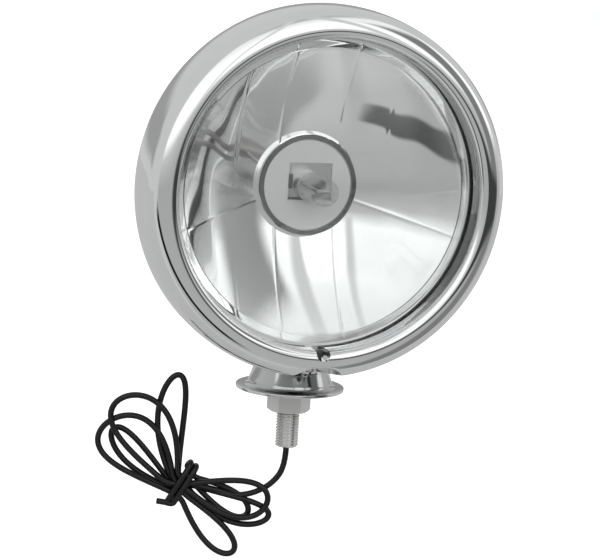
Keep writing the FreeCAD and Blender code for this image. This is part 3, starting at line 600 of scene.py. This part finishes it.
# %% Pressing the dimple
DIMPLE_BORE = 16.0
DIMPLE_FLOOR = 59.08
DIMPLE_SLOPE = math.radians(15.0)
DIMPLE_EASE = 0.22


def outside_and_inside(outside, inside):
    """One value for the rows of the ring's outside and another for those of its inside, as a column."""
    return np.repeat([outside, inside], [len(ring_outside), len(ring_inside)])[:, None]


def soft_lower(a, b, width):
    """Smooth minimum of two heights: -w log(exp(-a/w) + exp(-b/w))."""
    return -width * np.logaddexp(-a / width, -b / width)


ring_radius, ring_forward = column(np.vstack([ring_outside, ring_inside]))
across = ring_radius * np.sin(ring_turn)
down = ring_radius * np.cos(ring_turn)
bore = outside_and_inside(DIMPLE_BORE, DIMPLE_BORE + RING_SHEET)
rise = (CREST[1] - ring_forward) * math.tan(DIMPLE_SLOPE)
dimple_axis = DIMPLE_FLOOR + rise + DIMPLE_BORE / math.cos(DIMPLE_SLOPE)
within = np.abs(across) < bore
dimple = dimple_axis - np.sqrt(np.where(within, bore ** 2 - across ** 2, 0.0)) / math.cos(DIMPLE_SLOPE)
pressed = np.where(within & (down > 0.0), soft_lower(down, dimple, DIMPLE_EASE), down)
print("dimple depth mm:", round(float((down - pressed).max()), 2))

# %% [markdown]
# ## Notch of the ring
#
# A round notch in the inner wall lets water out. Both sides of the sheet are moved down to a half
# circle, the inner one a little further, so that the notch gets a wall. A tiny draft from row to row
# keeps rows that lie equally far forward from falling together.

# %% Cutting the notch
NOTCH_CENTRE = 53.2
NOTCH_ROUND = 2.3
NOTCH_WALL = 0.3
NOTCH_BACK = 27.0
NOTCH_DRAFT = 0.003
notch_round = outside_and_inside(NOTCH_ROUND, NOTCH_ROUND + NOTCH_WALL)
draft = NOTCH_DRAFT * np.arange(len(ring_radius))[:, None]
notch = NOTCH_CENTRE - draft + np.sqrt(np.maximum(notch_round ** 2 - across ** 2, 0.0))
in_notch = (np.abs(across) < notch_round) & (down > 0.0) & (ring_forward > NOTCH_BACK)
cut = np.where(in_notch, np.maximum(pressed, notch), pressed)
ring_grid = np.stack([across, np.broadcast_to(-ring_forward, across.shape), AXIS_HEIGHT - cut], axis=-1)
piece("trim_ring.smooth", ring_grid, "chrome", "trim_ring")

# %% [markdown]
# ## Lens
#
# The lens is moulded clear glass, gently domed and 3 mm thick, with a flat edge under the ring's wall.
# A flat disc would catch no highlight, and a part of a ball would have no edge to hold it, so its
# section is two long arcs joined by a small square edge. The dome is left plain.

# %% Lens
LENS_RADIUS = 56.5
LENS_EDGE = (24.4, 27.6)
HOLLOW_TOP, HOLLOW_FOOT, HOLLOW_ROUND = (0.0, 32.9), (47.9, 25.36), 155.9
DOME_TOP, DOME_FOOT, DOME_ROUND = (0.0, 36.0), (51.0, LENS_EDGE[1]), 159.0
# Points left off at both ends, where the long arcs run into the rounded corners
HALF_CORNER = 2
LENS_ROUNDS = [0.2, 0.4, 0.4]
lens_corners = [(HOLLOW_FOOT[0], LENS_EDGE[0]), (LENS_RADIUS, LENS_EDGE[0]), (LENS_RADIUS, LENS_EDGE[1])]
lens_edge = eased(lens_corners, LENS_ROUNDS)
lens_section = np.vstack([
    bow(HOLLOW_TOP, HOLLOW_FOOT, -HOLLOW_ROUND, count=50),
    lens_edge[HALF_CORNER:-HALF_CORNER],
    bow(DOME_FOOT, DOME_TOP, DOME_ROUND, count=60),
])
turned("lens.smooth", lens_section, 180, "clear_glass", "lens", closed=False)

# %% [markdown]
# ## Gasket
#
# A rubber of L section lies round the edge of the glass and keeps water out. Little of it shows, but it
# is the dark line inside the ring. A plain hoop would leave a gap under the glass, so the L is drawn
# whole, and an eased outline gives it soft corners.

# %% Gasket
GASKET_INSIDE, GASKET_OUTSIDE = 53.0, 58.0
GASKET_BACK = 23.5
GASKET_ROUND = 0.25
gasket_section = eased([
    (GASKET_INSIDE, GASKET_BACK),
    (GASKET_OUTSIDE, GASKET_BACK),
    (GASKET_OUTSIDE, LENS_EDGE[1]),
    (LENS_RADIUS, LENS_EDGE[1]),
    (LENS_RADIUS, LENS_EDGE[0]),
    (GASKET_INSIDE, LENS_EDGE[0]),
], GASKET_ROUND)
turned("lens_gasket.smooth", gasket_section, 180, "black_rubber", "lens_gasket")

# %% [markdown]
# ## Shape of the reflector
#
# The reflector is pressed sheet with a mirror coat. It isn't a plain bowl: upright creases and two
# slanting ones part it into facets, each a piece of the same paraboloid tipped a little to spread the
# beam. Cutting facets by hand would break the smooth bowl, so it is a height field: the paraboloid,
# plus terms that bend only beyond a crease, a low ridge where the sheet is folded, and a faint ripple
# from the press.

# %% Height field of the reflector
BOWL_FLOOR = 2.527
FOUR_FOCAL = 121.6
CREASES = (10.5, 26.0)
SIDE_TIPS = (-0.045, 0.060)
SLANT = 17.0
LOW_TIP = 0.035
RIDGE = 0.05
UPRIGHT_WIDTH, SLANT_WIDTH = 0.5, 0.6
SHORT_HEIGHT, SHORT_WAVE, SHORT_SKEW = 0.014, 11.0, 9.0
LONG_HEIGHT, LONG_WAVE, LONG_SKEW = 0.024, 17.0, 0.4


def ripple(x, y):
    """Two weak sine waves across the mirror, each running a little askew."""
    short = SHORT_HEIGHT * np.sin(FULL_TURN * x / SHORT_WAVE + y / SHORT_SKEW)
    return short + LONG_HEIGHT * np.sin(FULL_TURN * (x + LONG_SKEW * y) / LONG_WAVE)


def reflector_height(x, y):
    """(x^2 + y^2) / 4f, tipped beyond the upright creases and below the slanting ones, with folds."""
    beyond = [np.abs(x) - crease for crease in CREASES]
    low = y + np.maximum(np.abs(x), CREASES[0]) * math.tan(math.radians(SLANT))
    bowl = BOWL_FLOOR + (x * x + y * y) / FOUR_FOCAL
    tipped = sum(tip * np.maximum(0.0, past) for tip, past in zip(SIDE_TIPS, beyond))
    folds = sum(np.exp(-(past / UPRIGHT_WIDTH) ** 2) for past in beyond) + np.exp(-(low / SLANT_WIDTH) ** 2)
    return bowl + tipped + LOW_TIP * np.minimum(0.0, low) + RIDGE * folds + ripple(x, y)


# %% [markdown]
# Grid lines must run along every crease, because a mirror shows any edge that doesn't. So each ray from
# the middle is parted at the two upright creases, with its points gathered near them, and two rays
# follow the slanting ones.

# %% Grid lines of the reflector
NECK, RIM = 17.1, 50.5
# Too small to see, but it keeps two rays apart and a division finite
HAIR = 1e-6
slant_rays = [-SLANT + HAIR, 180.0 + SLANT - HAIR]
bearing = np.radians(np.sort(np.concatenate([np.arange(-90.0, 270.0, 1.0), slant_rays])))[None, :]
sideward_share = np.maximum(np.abs(np.cos(bearing)), HAIR)
first_crease, second_crease = [np.clip(crease / sideward_share, NECK, RIM) for crease in CREASES]
part = (1.0 - np.cos(np.linspace(0.0, np.pi, 37)))[:, None] / 2.0
mirror_radius = np.vstack([
    NECK + (first_crease - NECK) * part,
    first_crease + (second_crease - first_crease) * part[1:],
    second_crease + (RIM - second_crease) * part[1:],
])
mirror_x = mirror_radius * np.cos(bearing)
mirror_y = mirror_radius * np.sin(bearing)
mirror = np.stack([mirror_x, mirror_y, reflector_height(mirror_x, mirror_y)], axis=-1)
print("mirror grid:", mirror.shape[:2])

# %% [markdown]
# A real reflector has a back and edges too. Its section goes all the way round the sheet: up the collar
# that holds the bulb, out along the mirror, up the rim, round the flange, and back along the rear face.
# Only mirror and rear face vary with the angle, and the rest are plain hoops.

# %% Reflector piece
COLLAR_BORE, COLLAR_BACK, COLLAR_TOP, COLLAR_ROUND = 15.2, 2.5, 6.9, 0.2
FLANGE_RADIUS, FLANGE_FRONT, FLANGE_BACK = 59.4, 23.5, 22.0
REAR_RIM, REAR_STEP = 52.0, 20.0
MIRROR_SHEET = 1.5


def hoop(radius, forward):
    """A ring of constant radius and height, as one row of the reflector's grid."""
    level = np.full_like(bearing, forward)
    return np.stack([radius * np.cos(bearing), radius * np.sin(bearing), level], axis=-1)


rear = mirror[::-3] - np.array([0.0, 0.0, MIRROR_SHEET])
sheet = np.vstack([
    hoop(COLLAR_BORE, COLLAR_BACK),
    hoop(COLLAR_BORE, COLLAR_TOP - COLLAR_ROUND),
    hoop(COLLAR_BORE + COLLAR_ROUND, COLLAR_TOP),
    hoop(NECK - COLLAR_ROUND, COLLAR_TOP),
    hoop(NECK, COLLAR_TOP - COLLAR_ROUND),
    mirror,
    hoop(RIM, FLANGE_FRONT),
    hoop(FLANGE_RADIUS, FLANGE_FRONT),
    hoop(FLANGE_RADIUS, FLANGE_BACK),
    hoop(REAR_RIM, FLANGE_BACK),
    hoop(REAR_RIM, REAR_STEP),
    rear,
    hoop(NECK, COLLAR_BACK),
])
reflector_grid = np.stack([sheet[..., 0], -sheet[..., 2], AXIS_HEIGHT + sheet[..., 1]], axis=-1)
piece("reflector.smooth", reflector_grid, "bright_reflector", "reflector", sharp=1.4)

# %% [markdown]
# ## Capsule of the bulb
#
# A halogen capsule stands in the window of a matt grey disc. Its quartz tube is closed by a round tip
# and holds a short coil on two posts. A tube with two walls would need glass that bends light twice, so
# only its outer face is made, to go with the thin quartz.

# %% Capsule
CAPSULE_RADIUS = 4.7
CAPSULE_FOOT = 6.4
TIP_CENTRE = (0.0, 25.1)
capsule_section = np.vstack([
    [(0.0, CAPSULE_FOOT), (CAPSULE_RADIUS, CAPSULE_FOOT)],
    arc(TIP_CENTRE, CAPSULE_RADIUS, 0.0, 90.0, count=24),
])
turned("bulb_glass.smooth", capsule_section, 64, "quartz", "bulb_glass", closed=False)

# %% [markdown]
# ## Window of the bulb
#
# The base lies a little back in the disc's window. A slot for its contact at the left and the gap below
# it lie in shade and show dark. Cutting them into the base would change a modelled piece, so the shade
# in each is painted as a thin dark block.

# %% Painted shade in the slot and gap of the window
BASE_FACE = 6.02
BLOCK_HEIGHT = 0.1
SHRUNK = np.array([0.0, 1.0, 1.0, 0.0])[:, None, None]
LEVELS = BASE_FACE + np.array([0.0, 0.0, BLOCK_HEIGHT, BLOCK_HEIGHT])[:, None]


def painted_shade_block(name, left, right, low, high):
    """Painted shade: outline shrunk to a point, full, full again a little higher, and a point: a closed
    flat block.
    """
    corner = np.array([(left, low), (right, low), (right, high), (left, high)])
    middle = corner.mean(axis=0)
    flat = middle + SHRUNK * (corner - middle)
    level = np.broadcast_to(-LEVELS, flat.shape[:2])
    grid = np.stack([flat[..., 0], level, AXIS_HEIGHT + flat[..., 1]], axis=-1)
    return piece(name, grid, "black_rubber", closed=(False, True))


# Painted shade: the slot at the left and the gap below are drawn as blocks in the black_rubber finish
painted_shade_block("contact_slot_shade", left=-6.6, right=-5.2, low=-1.3, high=3.6)
painted_shade_block("window_gap_shade", left=-6.7, right=1.2, low=-5.05, high=-4.3)

# %% [markdown]
# ## Foot
#
# The foot is a bell of thin chromed metal: a wide flange that rests on the bar, a small fillet, and a
# hollow flank that rises to the bowl. Inside is a floor that the bolt clamps. A cone would miss the
# hollow flank, so the section is drawn with an arc for each of them.

# %% Foot
BOLT_HOLE = 4.05
RECESS_RADIUS, RECESS_TOP = 9.0, 0.6
FLOOR_TOP = 3.0
FLANGE, FLANGE_TOP, FLANGE_EDGE = 18.65, 1.2, 0.3
FILLET = 1.6
FLANK_FOOT, FLANK_TOP, FLANK_ROUND = (14.5, 2.8), (11.8, 17.25), 32.0
FOOT_SHEET = 1.4
INSIDE_FOOT, INSIDE_TOP = 4.2, 16.95
foot_section = np.vstack([
    [(BOLT_HOLE, RECESS_TOP), (RECESS_RADIUS, RECESS_TOP), (RECESS_RADIUS, 0.0)],
    bow((FLANGE - FLANGE_EDGE, 0.0), (FLANGE, FLANGE_EDGE), FLANGE_EDGE, count=6),
    bow((FLANGE, FLANGE_TOP - FLANGE_EDGE), (FLANGE - FLANGE_EDGE, FLANGE_TOP), FLANGE_EDGE, count=6),
    bow((FLANK_FOOT[0] + FILLET, FLANGE_TOP), FLANK_FOOT, -FILLET, count=14),
    bow(FLANK_FOOT, FLANK_TOP, -FLANK_ROUND, count=40)[1:],
    bow((FLANK_TOP[0] - FOOT_SHEET, INSIDE_TOP), (FLANK_FOOT[0] - FOOT_SHEET, INSIDE_FOOT),
        FLANK_ROUND + FOOT_SHEET, count=20),
    [(FLANK_FOOT[0] - FOOT_SHEET, FLOOR_TOP), (BOLT_HOLE, FLOOR_TOP)],
])
turned("mount_skirt.smooth", foot_section, 180, "chrome", "mount_skirt", about=round_bolt)

# %% [markdown]
# ## Bolt
#
# The bolt is hollow for the lead. A thread could be a stack of rings, but rings don't climb. Here the
# radius falls with a clipped triangle wave of height / pitch - angle / turn, which is a true helix. At
# the end the crests are cut by a cone, so that a nut finds its start.

# %% Bolt
THREAD_TOP = -7.0
PITCH = 1.0
THREAD_RADIUS, THREAD_DEPTH = 4.0, 0.40
FLANK_STEEPNESS, CREST_FLAT = 1.25, 0.12
POINT_RADIUS, POINT_SLOPE = 3.4, 1.2
SHANK_RADIUS, SHANK_FOOT, HEAD_SEAT = 3.6, -6.9, 19.6
LEAD_HOLE = 1.8
bolt_turn = turn(96)
thread_height = np.linspace(BOLT_END, THREAD_TOP, 220)[:, None]
wave = np.mod(thread_height / PITCH - bolt_turn / FULL_TURN, 1.0)
flank = np.clip(np.abs(2.0 * wave - 1.0) * FLANK_STEEPNESS - CREST_FLAT, 0.0, 1.0)
point = np.minimum(THREAD_RADIUS, POINT_RADIUS + (thread_height - BOLT_END) * POINT_SLOPE)
thread_radius = np.minimum(THREAD_RADIUS - THREAD_DEPTH * flank, point)
shank = np.array([(SHANK_RADIUS, SHANK_FOOT), (SHANK_RADIUS, HEAD_SEAT), (LEAD_HOLE, HEAD_SEAT),
                  (LEAD_HOLE, BOLT_END)])
bolt_radius = np.vstack([thread_radius, np.repeat(shank[:, :1], bolt_turn.shape[1], axis=1)])
bolt_height = np.vstack([thread_height, shank[:, 1:]])
bolt_grid = round_bolt(bolt_radius, bolt_turn, bolt_height)
piece("hollow_bolt.thread", bolt_grid, "zinc_steel", "hollow_bolt", sharp=50.0)

# %% [markdown]
# ## Nut and bolt head
#
# Both are hexagons of 13 mm across flats whose corners are cut by a cone, which leaves the curved edges
# that every nut has. A six-sided cylinder with a bevel wouldn't show them. So the radius is that of a
# hexagon, half the width / cos(angle from the nearest flat), and the ends drop where it passes the
# cone's start.

# %% Nut and bolt head
HALF_FLATS = 6.5
CONE_START = 6.35
CONE = math.tan(math.radians(30.0))
EDGE_IN, EDGE_DOWN = 0.03, 0.05


def hexagon(name, *nodes, low, high, bore, turned_by):
    """Rows up the bore, out over the top, down the flats and back: r = half flats / cos(angle)."""
    angle = turn(180)
    edge = HALF_FLATS / np.cos(np.mod(angle, np.pi / 3) - np.pi / 6)
    drop = np.maximum(0.0, edge - CONE_START) * CONE
    level = np.zeros_like(edge)
    radius = np.vstack([level + bore, level + bore, level + CONE_START, edge - EDGE_IN, edge, edge,
                        edge - EDGE_IN, level + CONE_START])
    height = np.vstack([level + low, level + high, level + high, high - drop, high - drop - EDGE_DOWN,
                        low + drop + EDGE_DOWN, low + drop, level + low])
    grid = round_bolt(radius, angle + math.radians(turned_by), height)
    return piece(name, grid, "zinc_steel", *nodes, sharp=20.0)


hexagon("hex_nut.smooth", "hex_nut", low=-7.9, high=-1.4, bore=3.65, turned_by=46.0)
hexagon("bolt_head.smooth", low=19.55, high=24.55, bore=LEAD_HOLE, turned_by=0.0)

# %% [markdown]
# ## Spring washer
#
# The washer is split so that it can spring. A whole ring with a cut would leave open ends, so the
# section is carried round less than a full turn, and at each end it shrinks to its middle, which closes
# it.

# %% Spring washer
WASHER_RADIUS, WASHER_LOW, WASHER_HIGH = 7.4, -1.4, 0.6
WASHER_ROUND = 0.25
SPLIT_START, SPLIT_END = 96.0, 444.0
WASHER_STEPS = 121
washer = eased([(BOLT_HOLE, WASHER_LOW), (WASHER_RADIUS, WASHER_LOW), (WASHER_RADIUS, WASHER_HIGH),
                (BOLT_HOLE, WASHER_HIGH)], WASHER_ROUND)
washer_radius, washer_height = column(washer)
middle_radius, middle_height = washer.mean(axis=0)
washer_degrees = np.pad(np.linspace(SPLIT_START, SPLIT_END, WASHER_STEPS), 1, mode="edge")
washer_turn = np.radians(washer_degrees)[None, :]
washer_full = np.pad(np.ones(WASHER_STEPS), 1)[None, :]
washer_grid = round_bolt(middle_radius + (washer_radius - middle_radius) * washer_full, washer_turn,
                         middle_height + (washer_height - middle_height) * washer_full)
piece("lock_washer.smooth", washer_grid, "zinc_steel", "lock_washer", closed=(True, False))

# %% [markdown]
# ## Small pieces kept as modelled
#
# Screw, seat, plate, base, clip, filament and the wiring inside have plain faces or can't be seen.
# Making them again would add nothing, so the modelled pieces stay and only get their finish.

# %% Finishes of the kept pieces
for entry in frame["record"]["subparts"]:
    kept = frame["nodes"][entry["node"]]
    if not kept.hide_render:
        kept.data.materials.clear()
        kept.data.materials.append(material[entry["material_slot"]])
        print("kept:", entry["node"])

# %% [markdown]
# ## Floor
#
# The lamp floats above white paper that takes its shadow. Plain paper would look grey beside a white
# page, so it glows a little for the view alone, and the chrome still mirrors it as paper. It starts
# below the lamp and runs back, so that the front of the room stays open to the reflector.

# %% Floor
FLOOR_LEVEL = -64.5 * MM
FLOOR_HALF, FLOOR_FRONT, FLOOR_BACK = 1.2, -0.06, 3.0
PAPER_GLOW = 0.75
floor_mesh = bpy.data.meshes.new("floor")
floor_corners = [(-FLOOR_HALF, FLOOR_FRONT, FLOOR_LEVEL), (FLOOR_HALF, FLOOR_FRONT, FLOOR_LEVEL),
                 (FLOOR_HALF, FLOOR_BACK, FLOOR_LEVEL), (-FLOOR_HALF, FLOOR_BACK, FLOOR_LEVEL)]
floor_mesh.from_pydata(floor_corners, [], [(0, 1, 2, 3)])
paper = finish("paper", (0.74, 0.74, 0.74), roughness=0.8, grain=800.0, cloud=0.01)
paper_tree = paper.node_tree
plain = paper_tree.nodes["Principled BSDF"].outputs["BSDF"]
glow = node(paper_tree, "Emission", Strength=PAPER_GLOW)
glowing = node(paper_tree, "AddShader")
paper_tree.links.new(plain, glowing.inputs[0])
paper_tree.links.new(glow.outputs["Emission"], glowing.inputs[1])
in_view = node(paper_tree, "LightPath").outputs["Is Camera Ray"]
show_mix(paper_tree, in_view, plain, glowing.outputs["Shader"])
floor_mesh.materials.append(paper)
floor = bpy.data.objects.new("floor", floor_mesh)
bpy.context.scene.collection.objects.link(floor)
print("floor at", FLOOR_LEVEL)

# %% [markdown]
# ## Directions in the room
#
# Chrome looks like what surrounds it, so the room matters more than any lamp. A photographed room could
# be wrapped round the scene, but a room drawn by direction needs no picture and each of its parts can
# be moved. The tools below name a direction and tell how far a ray points along it.

# %% Tools for directions
world = bpy.data.worlds.new("room")
bpy.context.scene.world = world
world.use_nodes = True
room = world.node_tree
direction = node(room, "TexCoord").outputs["Generated"]
UP = (0.0, 0.0, 1.0)


def heading(azimuth, elevation):
    """Unit direction: azimuth 0 is ahead of the lamp, positive to the right of someone facing it."""
    around, above = math.radians(azimuth), math.radians(elevation)
    return math.sin(around) * math.cos(above), -math.cos(around) * math.cos(above), math.sin(above)


def share_along(axis):
    """Dot product of the ray's direction and an axis."""
    share = node(room, "VectorMath")
    share.operation = "DOT_PRODUCT"
    share.inputs[1].default_value = axis
    room.links.new(direction, share.inputs[0])
    return share.outputs["Value"]


# %% [markdown]
# A part of the room is a factor between 0 and 1 for each direction. Soft steps make its edges, because
# a real lamp or wall out of focus has no sharp ones. Spots are round, bands are strips along a great
# circle, and two factors multiplied leave what lies in both.

# %% Tools for parts of the room
def step(value, low, high):
    """Smooth step, 0 at low and 1 at high."""
    ease = node(room, "MapRange", From_Min=low, From_Max=high)
    ease.interpolation_type = "SMOOTHSTEP"
    room.links.new(value, ease.inputs["Value"])
    return ease.outputs["Result"]


def both(first, second):
    """Product of two factors."""
    product = node(room, "Math")
    product.operation = "MULTIPLY"
    room.links.new(first, product.inputs[0])
    room.links.new(second, product.inputs[1])
    return product.outputs["Value"]


def spot(azimuth, elevation, inner, outer):
    """1 within the inner angle about a heading, 0 beyond the outer one."""
    along = share_along(heading(azimuth, elevation))
    return step(along, low=math.cos(math.radians(outer)), high=math.cos(math.radians(inner)))


def band(pole, half, soft):
    """1 along the great circle about a pole, to half a width in degrees either side, with a soft edge."""
    off = node(room, "Math")
    off.operation = "ABSOLUTE"
    room.links.new(share_along(pole), off.inputs[0])
    outer, inner = math.sin(math.radians(half + soft)), math.sin(math.radians(half))
    return step(off.outputs["Value"], low=outer, high=inner)


def laid(factor, under, grey):
    """The tone under it where the factor is 0, and a grey where it is 1."""
    mix = node(room, "Mix")
    mix.data_type = "FLOAT"
    room.links.new(factor, mix.inputs["Factor"])
    room.links.new(under, mix.inputs["A"])
    mix.inputs["B"].default_value = grey
    return mix.outputs["Result"]


# %% [markdown]
# ## Room by height
#
# From below to above the room is a pale floor, a grey front, a broad soft box over the front and a
# dimmer ceiling. Four lit planes would do, but their edges would show as hard lines in the chrome. One
# ramp along the height of the ray holds all four and runs softly from each to the next.

# %% Room by elevation
GREY_BY_ELEVATION = [(-90, 0.62), (-70, 0.58), (-58, 0.46), (-6, 0.43), (4, 0.60), (12, 1.25), (40, 1.15),
                     (58, 0.95), (66, 0.55), (90, 0.50)]
height = share_along(UP)
place = node(room, "MapRange", From_Min=-1.0)
room.links.new(height, place.inputs["Value"])
ramp = node(room, "ValToRGB")
room.links.new(place.outputs["Result"], ramp.inputs["Fac"])
while len(ramp.color_ramp.elements) < len(GREY_BY_ELEVATION):
    ramp.color_ramp.elements.new(1.0)
for stop, (elevation, grey) in zip(ramp.color_ramp.elements, GREY_BY_ELEVATION):
    stop.position = (math.sin(math.radians(elevation)) + 1.0) / 2.0
    stop.color = (grey, grey, grey, 1.0)
tone = ramp.outputs["Color"]
print("tones by height:", len(GREY_BY_ELEVATION))

# %% [markdown]
# ## Lights and walls
#
# The soft box has a brighter middle, and two stands cut it into strips, which the reflector shows as
# streaks. Behind the lamp is a light wall with a darker strip along its foot.

# %% Soft box, stands and rear wall
REAR_LEFT = (-0.225, 0.974, 0.0)
above_front = step(height, low=0.10, high=0.18)
tone = laid(spot(azimuth=12.0, elevation=25.0, inner=6.0, outer=18.0), tone, grey=1.7)
tone = laid(both(band(heading(84.0, 0.0), half=0.5, soft=2.5), above_front), tone, grey=0.72)
tone = laid(both(band(heading(115.0, 0.0), half=1.0, soft=3.0), above_front), tone, grey=0.66)
tone = laid(step(share_along(REAR_LEFT), low=-0.30, high=-0.15), tone, grey=0.62)
wall_foot = both(step(height, low=-0.02, high=0.06), step(height, low=0.30, high=0.18))
behind = step(share_along(heading(180.0, 0.0)), low=0.30, high=0.70)
tone = laid(both(wall_foot, behind), tone, grey=0.36)
print("lights and rear wall laid")

# %% [markdown]
# ## Dark parts
#
# Chrome looks like metal only if it also mirrors something dark. An upright panel at the right makes
# the dark line of the ring, a low edge in front darkens its lower half, and a slanting bar gives the
# dark band that crosses the reflector. The view itself sees plain white.

# %% Panel, low edge and bar
panel = both(band(heading(146.0, 0.0), half=10.0, soft=9.0),
             step(share_along(heading(56.0, 0.0)), low=0.35, high=0.60))
tone = laid(both(panel, step(height, low=0.79, high=0.62)), tone, grey=0.22)
low_edge = both(step(height, low=-0.26, high=-0.19), step(height, low=-0.03, high=-0.09))
tone = laid(both(low_edge, spot(azimuth=40.0, elevation=-8.0, inner=20.0, outer=34.0)), tone, grey=0.05)
bar_pole = np.cross(heading(-62.0, -20.0), heading(-35.0, -40.0))
bar = band(tuple(bar_pole / np.linalg.norm(bar_pole)), half=3.6, soft=2.2)
tone = laid(both(bar, spot(azimuth=-45.0, elevation=-37.0, inner=26.0, outer=36.0)), tone, grey=0.01)
tone = laid(node(room, "LightPath").outputs["Is Camera Ray"], tone, grey=1.0)
room.links.new(tone, room.nodes["Background"].inputs["Color"])
bpy.context.scene.view_settings.view_transform = "Standard"
print("room made of", len(room.nodes), "nodes")
